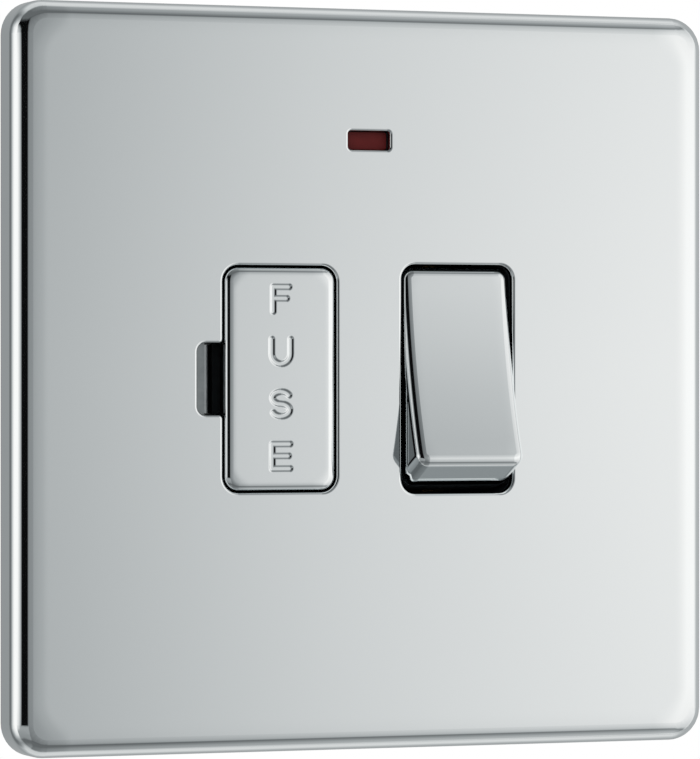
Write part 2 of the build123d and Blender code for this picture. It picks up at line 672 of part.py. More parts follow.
def rear_housing():
    """The moulded back: a tray for the mechanism with a raised row of terminal pockets at each end."""
    width, height = 2 * HOUSING_HALF_WIDTH, 2 * HOUSING_HALF_HEIGHT
    housing = prism(rounded(width, height, HOUSING_CORNER_RADIUS), WEB_BACK, CENTRE_BACK)
    inner = rounded(2 * INNER_HALF_WIDTH, 2 * INNER_HALF_HEIGHT, INNER_CORNER_RADIUS)
    housing -= prism(inner, WEB_BACK, FLOOR_FRONT)
    centre = span(-INNER_HALF_WIDTH, INNER_HALF_WIDTH, -CENTRE_HALF_HEIGHT, CENTRE_HALF_HEIGHT)
    housing -= prism(centre, FLOOR_FRONT, CENTRE_INNER)
    flanks = inner - Rectangle(2 * TOWER_HALF_WIDTH, height)
    housing -= prism(flanks, FLOOR_FRONT, CENTRE_INNER)
    for end in SIDES.values():
        low, high = sorted((end * CENTRE_HALF_HEIGHT, end * HOUSING_HALF_HEIGHT))
        housing += prism(span(-TOWER_HALF_WIDTH, TOWER_HALF_WIDTH, low, high), FLOOR_FRONT, HOUSING_BACK)
    for x in TERMINALS.values():
        half = TERMINAL_WIDTH / 2 + POCKET_GAP
        for end in SIDES.values():
            low, high = sorted((end * POCKET_INNER, end * HOUSING_HALF_HEIGHT))
            housing -= prism(span(x - half, x + half, low, high), STRIP_FRONT, HOUSING_BACK)
    for x, z in COLUMNS:
        housing += peg(COLUMN_RADIUS, x, z, COLUMN_MEET, FLOOR_FRONT)
        housing -= peg(HOUSING_SCREW_RADIUS + SCREW_FIT, x, z, COLUMN_MEET, SCREW_SEAT_Y)
        housing -= peg(HOUSING_HEAD_RADIUS + SCREW_FIT, x, z, SCREW_SEAT_Y, HOUSING_BACK)
    pads = [(x, CONTACT_Z) for x in (LIVE_X, NEUTRAL_X)]
    pads += [(x, 0) for x in (LIVE_X, NEUTRAL_X)]
    pads += [(FUSE_X, end * CLIP_Z) for end in (-1, 1)]
    for x, z in pads:
        housing += peg(PAD_RADIUS, x, z, STRIP_BACK, CENTRE_INNER)
    for outline in strip_outlines().values():
        housing -= strip_room(outline)
    cavity = Rectangle(2 * INNER_HALF_WIDTH, 2 * INNER_HALF_HEIGHT)
    for end in SIDES.values():
        room = offset(earth_tab(end), amount=STRIP_GAP, kind=Kind.INTERSECTION)
        housing -= prism(room & cavity, STRIP_FRONT, STRIP_BACK + STRIP_GAP)
    return housing


def rocker_profile(inset):
    """The rocker seen from its side at mid stroke, drawn inside the outer skin by an inset."""
    face_y = PIVOT_Y - FACE_REACH + inset
    rim_y = PIVOT_Y - FACE_REACH + CAP_DEPTH
    slope = tan(SWING)
    face_half = ROCKER_HALF - inset / cos(SWING) + inset * slope
    rim_half = face_half + (rim_y - face_y) * slope
    dish = ThreePointArc((face_y, -face_half), (face_y + DISH_DEPTH, 0), (face_y, face_half))
    rest = Polyline((face_y, face_half), (rim_y, rim_half), (rim_y, -rim_half), (face_y, -face_half))
    return make_face(dish + rest)


def rocker_block(inset):
    half = ROCKER_WIDTH / 2 - inset
    return side_prism(rocker_profile(inset), ROCKER_X - half, ROCKER_X + half)


def rocker_cap():
    """A pressed cap with a dished face, drafted ends and round edges, hollow behind."""
    block = rocker_block(0)
    rim_y = PIVOT_Y - FACE_REACH + CAP_DEPTH
    corners = [edge for edge in block.edges() if edge.bounding_box().size.Y > CAP_DEPTH / 2]
    block = fillet(corners, CAP_CORNER_RADIUS)
    front = [edge for edge in block.edges() if edge.bounding_box().max.Y < rim_y - CAP_DEPTH / 2]
    cap = fillet(front, CAP_EDGE_RADIUS) - rocker_block(CAP_SHEET)
    return turned(cap, PIVOT_Y, -ROCKER_SWING)


def rocker_dolly():
    """The moulded core of the rocker: a skirt round about its pivot, its pins and a bored leg for each pole."""
    rim_y = PIVOT_Y - FACE_REACH + CAP_DEPTH
    dolly = rocker_block(CAP_SHEET + CAP_FIT)
    left, right = ROCKER_X - ROCKER_WIDTH / 2, ROCKER_X + ROCKER_WIDTH / 2
    skirt = span(left, right, -SKIRT_RADIUS, SKIRT_RADIUS, CAP_CORNER_RADIUS)
    sweep_room = side_prism(Pos(PIVOT_Y, 0) * Circle(SKIRT_RADIUS), left, right)
    dolly += prism(skirt, rim_y, PIVOT_Y + DOLLY_TAIL) & sweep_room
    pin_reach = CUTOUT_WIDTH / 2 + PIN_BEARING
    dolly += side_prism(Pos(PIVOT_Y, 0) * Circle(PIN_RADIUS), ROCKER_X - pin_reach, ROCKER_X + pin_reach)
    for x in (LIVE_X, NEUTRAL_X):
        dolly += peg(LEG_RADIUS, x, 0, PIVOT_Y, PIVOT_Y + LEG_REACH)
        dolly -= peg(LEG_BORE_RADIUS, x, 0, PIVOT_Y + LEG_REACH - LEG_BORE_DEPTH, PIVOT_Y + LEG_REACH)
    return turned(dolly, PIVOT_Y, -ROCKER_SWING)


def plungers():
    """A round-nosed plunger for each pole, its spigot inside the spring."""
    tip = PIVOT_Y + PLUNGER_REACH
    shoulder = tip - PLUNGER_LENGTH
    dome = tip - PLUNGER_RADIUS
    outline = Polyline(
        (0, tip),
        (0, shoulder - SPIGOT_LENGTH),
        (SPIGOT_RADIUS, shoulder - SPIGOT_LENGTH),
        (SPIGOT_RADIUS, shoulder),
        (PLUNGER_RADIUS, shoulder),
        (PLUNGER_RADIUS, dome),
    )
    nose = CenterArc((0, dome), PLUNGER_RADIUS, 0, 90)
    section = make_face(outline + nose)
    return Compound(
        [turned(lathe(section, x, 0), PIVOT_Y, -ROCKER_SWING).solid() for x in (LIVE_X, NEUTRAL_X)]
    )


def plunger_springs():
    """A coil spring for each pole, between the bottom of its bore and the plunger's shoulder.

    The wire is six-sided, which keeps the faces few on a piece that nothing shows.
    """
    low = PIVOT_Y + LEG_REACH - LEG_BORE_DEPTH + SPRING_WIRE_RADIUS
    high = PIVOT_Y + PLUNGER_REACH - PLUNGER_LENGTH - SPRING_WIRE_RADIUS
    coils = []
    for x in (LIVE_X, NEUTRAL_X):
        path = Helix((high - low) / SPRING_TURNS, high - low, SPRING_RADIUS)
        section = Plane(path @ 0, z_dir=path % 0) * RegularPolygon(SPRING_WIRE_RADIUS, SPRING_WIRE_SIDES)
        coil = sweep(section, path=path)
        placed = Pos(x, low, 0) * Rot(X=-90) * coil
        coils.append(turned(placed, PIVOT_Y, -ROCKER_SWING).solid())
    return Compound(coils)


def wing_point(distance, rise):
    """A point on the rocking contact's upper wing: along the wing from the fulcrum, and in front of it."""
    angle = radians(WING_ANGLE)
    return (
        FULCRUM_Y - distance * sin(angle) - rise * cos(angle),
        distance * cos(angle) - rise * sin(angle),
    )


def rocking_contact(x):
    """A strip folded to a shallow V that tips on its fulcrum, lying open at rest."""
    reach = ROCKING_ARM + ROCKING_END
    upper_back = wing_point(reach, 0)
    upper_front = wing_point(reach, ROCKING_SHEET)
    lower_back = wing_point(ROCKING_TAIL, 0)
    lower_front = wing_point(ROCKING_TAIL, ROCKING_SHEET)
    section = Polygon(
        (FULCRUM_Y, 0),
        upper_back,
        upper_front,
        (ROCKING_FRONT, 0),
        (lower_front[0], -lower_front[1]),
        (lower_back[0], -lower_back[1]),
        align=None,
    )
    section -= Pos(FULCRUM_Y, 0) * Circle(STRIP_SHEET / 2 + FULCRUM_FIT)
    bar = side_prism(section, x - ROCKING_WIDTH / 2, x + ROCKING_WIDTH / 2)
    return turned(bar, FULCRUM_Y, ROCKING_SWING)


def moving_rivet(x):
    """The silver contact on the back of a rocking contact's upper wing."""
    back_y, back_z = wing_point(ROCKING_ARM, 0)
    rivet = lathe(span(0, RIVET_RADIUS, 0, RIVET_HEIGHT), 0, 0)
    placed = Pos(x, back_y, back_z) * Rot(X=WING_ANGLE) * rivet
    return turned(placed, FULCRUM_Y, ROCKING_SWING)


def fixed_contact_rivets():
    return Compound(
        [peg(RIVET_RADIUS, x, CONTACT_Z, CONTACT_Y, STRIP_FRONT).solid() for x in (LIVE_X, NEUTRAL_X)]
    )


def fuse_cover():
    """A pressed cover over the front of the fuse carrier."""
    outline = rounded(CARRIER_WIDTH, CARRIER_HEIGHT, CARRIER_CORNER_RADIUS, FUSE_X)
    cover = prism(outline, COVER_FRONT, COVER_RIM)
    cover = fillet(edges_at(cover, COVER_FRONT), COVER_EDGE_RADIUS)
    return cover - prism(cover_inside(0), COVER_FRONT + COVER_SHEET, COVER_RIM)


def cover_inside(gap):
    """The outline of the cover's inside, or of what fits in it with a gap all round."""
    wall = 2 * (COVER_SHEET + gap)
    radius = max(CARRIER_CORNER_RADIUS - COVER_SHEET, COVER_SHEET / 2)
    return rounded(CARRIER_WIDTH - wall, CARRIER_HEIGHT - wall, radius, FUSE_X)


def fuse_carrier():
    """A moulded tray that slides in the well, with cradles for the fuse link."""
    outline = rounded(CARRIER_WIDTH, CARRIER_HEIGHT, CARRIER_CORNER_RADIUS, FUSE_X)
    carrier = prism(outline, COVER_RIM, CARRIER_BACK)
    carrier += prism(cover_inside(COVER_FIT), COVER_FRONT + COVER_SHEET, COVER_RIM)
    tray_front = COVER_RIM + CARRIER_FRONT_WALL
    tray_half = CARRIER_WIDTH / 2 - CARRIER_WALL
    fuse_half = FUSE_LENGTH / 2 + FUSE_END_GAP
    tray = span(FUSE_X - tray_half, FUSE_X + tray_half, -fuse_half, fuse_half)
    carrier -= prism(tray, tray_front, CARRIER_BACK)
    for end in (-1, 1):
        middle = end * CRADLE_SPACING / 2
        low, high = middle - CRADLE_THICKNESS / 2, middle + CRADLE_THICKNESS / 2
        carrier += prism(span(FUSE_X - tray_half, FUSE_X + tray_half, low, high), tray_front, CARRIER_BACK)
    seat = Pos(FUSE_X, FUSE_Y) * Circle(FUSE_CAP_RADIUS - FUSE_CAP_SHEET + CRADLE_FIT)
    carrier -= plan_prism(seat, -fuse_half, fuse_half)
    groove_left = FUSE_X - CARRIER_WIDTH / 2
    groove = span(groove_left, groove_left + LEVER_GROOVE_DEPTH, -NOTCH_HEIGHT / 2, NOTCH_HEIGHT / 2)
    return carrier - prism(groove, COVER_RIM, COVER_RIM + LEVER_GROOVE_WIDTH)


def fuse_tube():
    """The ceramic barrel of the fuse link."""
    half = FUSE_LENGTH / 2 - FUSE_CAP_SHEET
    radius = FUSE_CAP_RADIUS - FUSE_CAP_SHEET - FUSE_CAP_FIT
    return plan_prism(Pos(FUSE_X, FUSE_Y) * Circle(radius), -half, half)


def fuse_caps():
    """The two drawn metal caps of the fuse link."""
    inside = FUSE_LENGTH / 2 - FUSE_CAP_SHEET
    hollow = plan_prism(Pos(FUSE_X, FUSE_Y) * Circle(FUSE_CAP_RADIUS - FUSE_CAP_SHEET), -inside, inside)
    caps = []
    for end in (-1, 1):
        low, high = sorted((end * FUSE_LENGTH / 2, end * (FUSE_LENGTH / 2 - FUSE_CAP_LENGTH)))
        cap = plan_prism(Pos(FUSE_X, FUSE_Y) * Circle(FUSE_CAP_RADIUS), low, high) - hollow
        caps.append(cap.solid())
    return Compound(caps)


def neon_lens():
    """The red lens in its window, with a flange behind the frame's web."""
    width, height = WINDOW_WIDTH - 2 * LENS_FIT, WINDOW_HEIGHT - 2 * LENS_FIT
    outline = rounded(width, height, WINDOW_CORNER_RADIUS - LENS_FIT, 0, WINDOW_RISE)
    lens = prism(outline, FRONT + LENS_RECESS, WEB_BACK)
    flange_half = WINDOW_WIDTH / 2 + LENS_FLANGE_SIDE
    half_height = WINDOW_HEIGHT / 2
    flange = span(-flange_half, flange_half, WINDOW_RISE - half_height, WINDOW_RISE + half_height)
    return lens + prism(flange, WEB_BACK, WEB_BACK + LENS_FLANGE)


def neon_lamp():
    """A small glass lamp with a round top, its leads leaving at the bottom."""
    dome = LAMP_BOTTOM + LAMP_LENGTH - LAMP_RADIUS
    barrel = plan_prism(Pos(0, LAMP_Y) * Circle(LAMP_RADIUS), LAMP_BOTTOM, dome)
    return barrel + Pos(0, LAMP_Y, dome) * Sphere(LAMP_RADIUS)


def wire(*points):
    """A round wire through corner points, bent on a radius at each."""
    path = FilletPolyline(*points, radius=LEAD_BEND_RADIUS) if len(points) > 2 else Line(*points)
    section = Plane(path @ 0, z_dir=path % 0) * Circle(LEAD_RADIUS)
    return sweep(section, path=path).solid()


def resistor_ends():
    """Where the series resistor starts and ends, front to back, past the bend in its lead."""
    start = LAMP_Y + LEAD_BEND_RADIUS + LEAD_STRAIGHT
    return start, start + RESISTOR_LENGTH


def neon_resistor():
    front, back = resistor_ends()
    body = peg(RESISTOR_RADIUS, -LEAD_SPACING / 2, 0, front, back)
    return fillet(body.edges(), RESISTOR_EDGE_RADIUS)


def neon_leads():
    """The lamp's two leads: one through the resistor to the live link, one round to the neutral strip."""
    x = LEAD_SPACING / 2
    front, back = resistor_ends()
    turn_z = -(CENTRE_HALF_HEIGHT + ROCKER_OPENING_HEIGHT / 2 + WELL_WALL) / 2
    return Compound(
        [
            wire((-x, LAMP_Y, LAMP_BOTTOM), (-x, LAMP_Y, 0), (-x, front, 0)),
            wire((-x, back, 0), (-x, STRIP_FRONT, 0)),
            wire(
                (x, LAMP_Y, LAMP_BOTTOM),
                (x, LAMP_Y, turn_z),
                (NEUTRAL_X, LAMP_Y, turn_z),
                (NEUTRAL_X, STRIP_FRONT, turn_z),
            ),
        ]
    )


def build():
    nodes = {
        "front_plate": front_plate(),
        "mounting_frame": mounting_frame(),
        "rear_housing": rear_housing(),
        "housing_screws": housing_screws(),
        "terminal_screws": terminal_screws(),
        "earth_strap": earth_strap(),
        "earth_leaf": earth_leaf(),
        "upper_fuse_clip": fuse_clip(CLIP_Z),
        "lower_fuse_clip": fuse_clip(-CLIP_Z),
        "fixed_contact_rivets": fixed_contact_rivets(),
        "live_moving_contact": rocking_contact(LIVE_X),
        "live_moving_rivet": moving_rivet(LIVE_X),
        "neutral_moving_contact": rocking_contact(NEUTRAL_X),
        "neutral_moving_rivet": moving_rivet(NEUTRAL_X),
        "rocker_cap": rocker_cap(),
        "rocker_dolly": rocker_dolly(),
        "plungers": plungers(),
        "plunger_springs": plunger_springs(),
        "fuse_cover": fuse_cover(),
        "fuse_carrier": fuse_carrier(),
        "fuse_tube": fuse_tube(),
        "fuse_caps": fuse_caps(),
        "neon_lens": neon_lens(),
        "neon_lamp": neon_lamp(),
        "neon_resistor": neon_resistor(),
        "neon_leads": neon_leads(),
    }
    nodes.update(conductor_strips())
    for side, end in SIDES.items():
        for wire_name, x in TERMINALS.items():
            nodes[f"{wire_name}_{side}_terminal"] = terminal_block(x, end)
    return nodes


os.makedirs("parts", exist_ok=True)
for node, shape in build().items():
    export_step(shape, f"parts/{node}.step")
    print(node, len(shape.solids()), round(shape.volume, 2))
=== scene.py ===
# %% [markdown]
# # A fused spur unit in bright chrome
#
# This lesson dresses a wiring accessory: a square chrome plate with a pull-out fuse carrier, a rocker
# switch and a neon lamp, and a moulded housing behind it. The solids come from the CAD model as a fixed
# frame. Blender adds what makes them look real: finishes, a stamped word, screw threads and a studio for
# the chrome to mirror.

# %% Load the frame
import math

import bmesh
import bpy
from mathutils import Matrix, Vector


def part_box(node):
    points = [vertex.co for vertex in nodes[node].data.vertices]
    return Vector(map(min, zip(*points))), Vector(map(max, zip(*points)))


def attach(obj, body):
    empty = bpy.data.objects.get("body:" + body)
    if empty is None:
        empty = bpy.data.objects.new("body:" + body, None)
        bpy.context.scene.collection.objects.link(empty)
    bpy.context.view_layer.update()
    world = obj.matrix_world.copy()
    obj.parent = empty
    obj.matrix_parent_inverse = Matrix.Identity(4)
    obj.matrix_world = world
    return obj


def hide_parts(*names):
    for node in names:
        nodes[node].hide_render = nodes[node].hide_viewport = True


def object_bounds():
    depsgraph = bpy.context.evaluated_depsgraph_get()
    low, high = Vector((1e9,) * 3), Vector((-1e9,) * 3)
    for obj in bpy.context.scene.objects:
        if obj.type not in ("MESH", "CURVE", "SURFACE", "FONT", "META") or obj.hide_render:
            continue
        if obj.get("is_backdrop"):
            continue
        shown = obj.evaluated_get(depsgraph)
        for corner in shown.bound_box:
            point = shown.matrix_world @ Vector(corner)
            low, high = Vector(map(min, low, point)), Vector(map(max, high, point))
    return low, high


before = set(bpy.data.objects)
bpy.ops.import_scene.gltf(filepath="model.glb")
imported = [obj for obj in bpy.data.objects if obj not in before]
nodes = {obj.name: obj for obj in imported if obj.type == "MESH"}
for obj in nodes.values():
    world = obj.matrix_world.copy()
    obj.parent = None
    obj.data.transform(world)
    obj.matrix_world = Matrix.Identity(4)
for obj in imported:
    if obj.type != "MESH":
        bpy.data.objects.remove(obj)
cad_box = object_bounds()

MM = 0.001
scene = bpy.context.scene
scene.view_settings.view_transform = "Standard"

# %% [markdown]
# ## The camera
#
# The photograph looks at the plate from the left, level with its middle. The two upright edges of the
# plate differ in length by a few percent, which gives the distance. A long lens at that distance gives the
# same mild perspective. A tiny shift puts the plate where it is in the frame, so the camera itself stays
# level.

# %% Place the camera
CAMERA_BEARING = math.radians(21.424)
CAMERA_DISTANCE = 635.6 * MM
FRAME_LONG_SIDE = 759
FOCAL_PIXELS = 4920.8
SENSOR = 36.0
ORIGIN_RIGHT_PIXELS = 2.5
ORIGIN_UP_PIXELS = 0.5

camera_data = bpy.data.cameras.new("photo_camera")
camera_data.sensor_width = SENSOR
camera_data.lens = FOCAL_PIXELS * SENSOR / FRAME_LONG_SIDE
camera_data.shift_x = -ORIGIN_RIGHT_PIXELS / FRAME_LONG_SIDE
camera_data.shift_y = -ORIGIN_UP_PIXELS / FRAME_LONG_SIDE
camera = bpy.data.objects.new("photo_camera", camera_data)
camera.location = CAMERA_DISTANCE * Vector((-math.sin(CAMERA_BEARING), -math.cos(CAMERA_BEARING), 0))
camera.rotation_euler = (math.pi / 2, 0, -CAMERA_BEARING)
scene.collection.objects.link(camera)
scene.camera = camera
print("camera: lens", round(camera_data.lens, 1), "mm at", tuple(round(c, 4) for c in camera.location))

# %% [markdown]
# ## Small helpers
#
# Colours are written as the hex values that a colour picker shows, and one function turns them into the
# linear numbers that a renderer works in. Another adds a node, sets it up and links it, so a material
# reads as a list.

# %% Colour and node helpers


def colour(hex_code):
    """An sRGB hex code as linear red, green, blue and alpha."""
    channels = [int(hex_code[i : i + 2], 16) / 255 for i in (1, 3, 5)]
    linear = [c / 12.92 if c <= 0.04045 else ((c + 0.055) / 1.055) ** 2.4 for c in channels]
    return (*linear, 1.0)


def set_inputs(node, inputs):
    """Sets a node's inputs: a socket is linked, and anything else is its value."""
    for name, value in inputs.items():
        if isinstance(value, bpy.types.NodeSocket):
            node.id_data.links.new(value, node.inputs[name])
        else:
            node.inputs[name].default_value = value


def add(tree, kind, inputs=None, stops=(), **settings):
    """A new node with its settings and inputs, and for a ramp its stops of place and colour."""
    node = tree.nodes.new(kind)
    for name, value in settings.items():
        setattr(node, name, value)
    set_inputs(node, inputs or {})
    for index, (place, shade) in enumerate(stops):
        elements = node.color_ramp.elements
        element = elements[index] if index < 2 else elements.new(place)
        element.position = place
        element.color = shade
    return node


print("the grey #808080 is", round(colour("#808080")[0], 3), "in linear light")

# %% [markdown]
# ## The studio
#
# Chrome has no colour of its own: it shows the room. Product studios shoot it inside a white tent with a
# dark gap where the camera looks in, and that gap is the black line along every left-hand edge. Sheets of
# cloth could hang round the part, but a world is simpler, because it only needs directions. It is a barrel
# that lies along X, so a face that tips up or down still mirrors the same bearing. In front its brightness
# follows that bearing to left and right, dimmed by height as one looks up or down past the screens. Behind
# the plate it is a grey wall with a bright roof.

# %% Directions in the tent
world = bpy.data.worlds.new("studio_tent")
scene.world = world
world.use_nodes = True
tree = world.node_tree
tree.nodes.clear()
direction = add(tree, "ShaderNodeTexCoord").outputs["Generated"]
axes = add(tree, "ShaderNodeSeparateXYZ", {0: direction}).outputs
off_axis = add(tree, "ShaderNodeVectorMath", {0: direction, 1: (0, 1, 1)}, operation="MULTIPLY").outputs[0]
radius = add(tree, "ShaderNodeVectorMath", {0: off_axis}, operation="LENGTH").outputs["Value"]
facing = add(tree, "ShaderNodeMath", {0: axes["Y"]}, operation="SIGN").outputs[0]
depth = add(tree, "ShaderNodeMath", {0: radius, 1: facing}, operation="MULTIPLY").outputs[0]
bearing = add(tree, "ShaderNodeMath", {0: axes["X"], 1: depth}, operation="ARCTAN2").outputs[0]
turn = add(tree, "ShaderNodeMapRange", {0: bearing, 1: -math.pi, 2: math.pi}).outputs[0]
steep = add(tree, "ShaderNodeMath", {0: axes["Z"]}, operation="ABSOLUTE").outputs[0]
angle = add(tree, "ShaderNodeMath", {0: steep}, operation="ARCSINE").outputs[0]
rise = add(tree, "ShaderNodeMapRange", {0: angle, 1: 0.0, 2: math.pi / 2}).outputs[0]
print("directions:", len(tree.nodes), "nodes")

# %% [markdown]
# Ramps turn directions into levels, and one is white. Bearings count in degrees from the front towards the
# viewer's left, heights from the horizon. The steep steps are the edges of the screens and of the gap, and
# they are what draws the crisp lines along the rounded edges of the plate.

# %% Levels of the tent
TENT_BY_BEARING = {
    0: 0.31, 16: 0.28, 20: 0.24,  # front wall
    25: 0.004, 60: 0.004,  # dark gap
    66: 0.42, 75: 0.80, 86: 1.1, 108: 1.1, 120: 0.85, 131: 0.42,  # left screen
    141: 0.17, 150: 0.18, 160: 0.33, 240: 0.48, 266: 0.55,  # wall behind
    276: 0.85, 288: 1.1, 331: 1.1, 335: 0.93, 339: 0.73,  # right screen
    343: 0.465, 348: 0.38, 360: 0.31,  # front wall
}
FRONT_BY_HEIGHT = {
    0: 1.0, 11: 0.89, 19: 0.82, 28: 0.72, 37: 0.645,  # screens
    39: 0.58, 42: 0.38, 45: 0.22, 48: 0.28, 54: 0.39,  # dark seam over the screens
    58: 0.47, 63: 0.57, 68: 0.64, 90: 0.8,  # roof
}
ROOF_BEHIND = {0: 0.0, 38: 0.0, 48: 0.12, 60: 0.38, 66: 0.36, 90: 0.3}
FULL_TURN = 360
QUARTER_TURN = 90


def grey_stops(levels, whole):
    """Stops of a ramp over a whole angle, from grey levels by degrees."""
    return [(degrees / whole, (level, level, level, 1)) for degrees, level in levels.items()]


walls = add(tree, "ShaderNodeValToRGB", {0: turn}, grey_stops(TENT_BY_BEARING, FULL_TURN)).outputs[0]
dimmed = add(tree, "ShaderNodeValToRGB", {0: rise}, grey_stops(FRONT_BY_HEIGHT, QUARTER_TURN)).outputs[0]
roof = add(tree, "ShaderNodeValToRGB", {0: rise}, grey_stops(ROOF_BEHIND, QUARTER_TURN)).outputs[0]
print("tent levels:", len(TENT_BY_BEARING) + len(FRONT_BY_HEIGHT) + len(ROOF_BEHIND), "stops")

# %% [markdown]
# The gap ends in height too. Overhead, dim cloth closes it. Below, pale cloth does, because a plate that
# is seen from above would otherwise mirror nothing but black. So there is a second ramp of the walls with
# the gap filled in, and it takes over between two slopes below the horizon.

# %% Brightness of the tent
GAP_TOP = {34: 0.0, 44: 0.15}
GAP_SPAN = (16, 66)
GAP_FILL = 0.46
# sines of the two slopes
GAP_FOOT = (-0.15, -0.24)
BLEND_DEPTH = 0.12
closed_tent = {
    degrees: GAP_FILL if GAP_SPAN[0] < degrees <= GAP_SPAN[1] else level
    for degrees, level in TENT_BY_BEARING.items()
}
closed_walls = add(tree, "ShaderNodeValToRGB", {0: turn}, grey_stops(closed_tent, FULL_TURN)).outputs[0]
over_gap = add(tree, "ShaderNodeValToRGB", {0: rise}, grey_stops(GAP_TOP, QUARTER_TURN)).outputs[0]
below = add(tree, "ShaderNodeMapRange", {0: axes["Z"], 1: GAP_FOOT[0], 2: GAP_FOOT[1]}).outputs[0]
around = add(tree, "ShaderNodeMix", {0: below, 2: walls, 3: closed_walls}, data_type="FLOAT").outputs[0]
wall_level = add(tree, "ShaderNodeMath", {0: around, 1: dimmed}, operation="MULTIPLY").outputs[0]
in_front = add(tree, "ShaderNodeMath", {0: wall_level, 1: over_gap}, operation="MAXIMUM").outputs[0]
behind = add(tree, "ShaderNodeMath", {0: around, 1: roof}, operation="ADD").outputs[0]
depths = {0: axes["Y"], 1: -BLEND_DEPTH, 2: BLEND_DEPTH}
side = add(tree, "ShaderNodeMapRange", depths, interpolation_type="SMOOTHSTEP").outputs[0]
tent_level = add(tree, "ShaderNodeMix", {0: side, 2: in_front, 3: behind}, data_type="FLOAT").outputs[0]
print("gap filled at", [degrees for degrees, level in closed_tent.items() if level == GAP_FILL], "degrees")

# %% [markdown]
# Only mirror rays see the tent, whose cloth leans to blue in the shade and to cream where it is lit.
# Camera rays, and rays that pass through glass, see plain white, which is the background. All other rays
# see one even level, so that a plastic or a painted colour renders about as written.

# %% Who sees what
SHADED_CLOTH = (0.93, 1.0, 1.03, 1)
LIT_CLOTH = (1.02, 1.0, 0.985, 1)
WHITE = (1, 1, 1, 1)
EVEN_LIGHT = 0.62
tint = {0: tent_level, 6: SHADED_CLOTH, 7: LIT_CLOTH}
cloth = add(tree, "ShaderNodeMix", tint, data_type="RGBA").outputs[2]
tent = add(tree, "ShaderNodeBackground", {"Color": cloth, "Strength": tent_level}).outputs[0]
even = add(tree, "ShaderNodeBackground", {"Color": WHITE, "Strength": EVEN_LIGHT}).outputs[0]
white = add(tree, "ShaderNodeBackground", {"Color": WHITE, "Strength": 1.0}).outputs[0]
ray = add(tree, "ShaderNodeLightPath").outputs
straight = {0: ray["Is Camera Ray"], 1: ray["Is Transmission Ray"]}
seen = add(tree, "ShaderNodeMath", straight, operation="MAXIMUM").outputs[0]
mirrored = add(tree, "ShaderNodeMixShader", {0: ray["Is Glossy Ray"], 1: even, 2: tent}).outputs[0]
shown = add(tree, "ShaderNodeMixShader", {0: seen, 1: mirrored, 2: white}).outputs[0]
add(tree, "ShaderNodeOutputWorld", {"Surface": shown})
print("world:", len(tree.nodes), "nodes")

# %% [markdown]
# ## Lamps
#
# Three large soft lamps give the plastics and brass some modelling. Small ones would throw hard shadows.
# They are hidden from mirror rays, because the tent already holds everything that the chrome should show.

# %% Add the lamps
# place and width in metres, then watts
LAMPS = {
    "left_softbox": ((-0.9, -0.9, 0.7), 0.9, 6.0),
    "right_softbox": ((1.1, -0.6, 0.5), 0.9, 4.0),
    "back_softbox": ((0.5, 1.2, 0.9), 1.0, 6.0),
}
for name, (place, width, watts) in LAMPS.items():
    lamp_data = bpy.data.lights.new(name, "AREA")
    lamp_data.size = width
    lamp_data.energy = watts
    lamp = bpy.data.objects.new(name, lamp_data)
    lamp.location = place
    lamp.rotation_euler = Vector(place).to_track_quat("Z", "Y").to_euler()
    lamp.visible_glossy = False
    scene.collection.objects.link(lamp)
print("lamps:", ", ".join(LAMPS))

# %% [markdown]
# ## How a finish starts
#
# Every finish begins with the same three nodes: the shader, the output, and the object's own coordinates,
# which stay with a piece wherever it moves. What follows each time is what makes that material itself. A
# noise seldom leaves the middle of its range, so tones and gloss are spread over that middle.

# %% Start a material
NOISE_LOW = 0.3
NOISE_HIGH = 0.7
# these two as the second and third input of a Map Range node
NOISE_SPAN = {1: NOISE_LOW, 2: NOISE_HIGH}


def new_material(name):
    """A material with its nodes, its shader, and the object's own coordinates to draw patterns on."""
    material = bpy.data.materials.new(name)
    material.use_nodes = True
    tree = material.node_tree
    tree.nodes.clear()
    shader = add(tree, "ShaderNodeBsdfPrincipled")
    add(tree, "ShaderNodeOutputMaterial", {"Surface": shader.outputs[0]})
    place = add(tree, "ShaderNodeTexCoord").outputs["Object"]
    return material, tree, shader, place


def dress(material, *names):
    """Gives a finish to solids of the frame."""
    for name in names:
        nodes[name].material_slots[0].material = material
    print(material.name, "on", len(names), "solids")


print("solids to dress:", len(nodes))

# %% [markdown]
# ### The floor's paper
#
# Studio paper is matt and nearly white, with a fibre that only shows as a faint cloudiness. It lies well
# below the part, which hangs on a wall in use, so it catches a soft shadow without a hard line behind the
# plate. A grid of one face is enough for it. Mirror rays pass it by, as they do the lamps.

# %% Lay the floor
FLOOR_DROP = 180 * MM
FLOOR_SIDE = 2.4
PAPER_CLOUD = 60 * MM
paper, tree, shader, place = new_material("matt_studio_paper")
cloudy = {"Vector": place, "Scale": 1 / PAPER_CLOUD, "Detail": 3.0}
cloud = add(tree, "ShaderNodeTexNoise", cloudy).outputs[0]
fibre = [(0.35, colour("#F4F4F3")), (0.65, colour("#F8F8F7"))]
tone = add(tree, "ShaderNodeValToRGB", {0: cloud}, fibre).outputs[0]
set_inputs(shader, {"Base Color": tone, "Roughness": 0.9})

sheet = bmesh.new()
bmesh.ops.create_grid(sheet, x_segments=1, y_segments=1, size=FLOOR_SIDE / 2)
bmesh.ops.translate(sheet, verts=sheet.verts, vec=(0, 0, -FLOOR_DROP))
floor_data = bpy.data.meshes.new("floor")
sheet.to_mesh(floor_data)
sheet.free()
floor_data.materials.append(paper)
floor = bpy.data.objects.new("floor", floor_data)
floor.visible_glossy = False
scene.collection.objects.link(floor)
floor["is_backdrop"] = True
print("floor:", FLOOR_SIDE, "m wide,", FLOOR_DROP, "m below the middle")

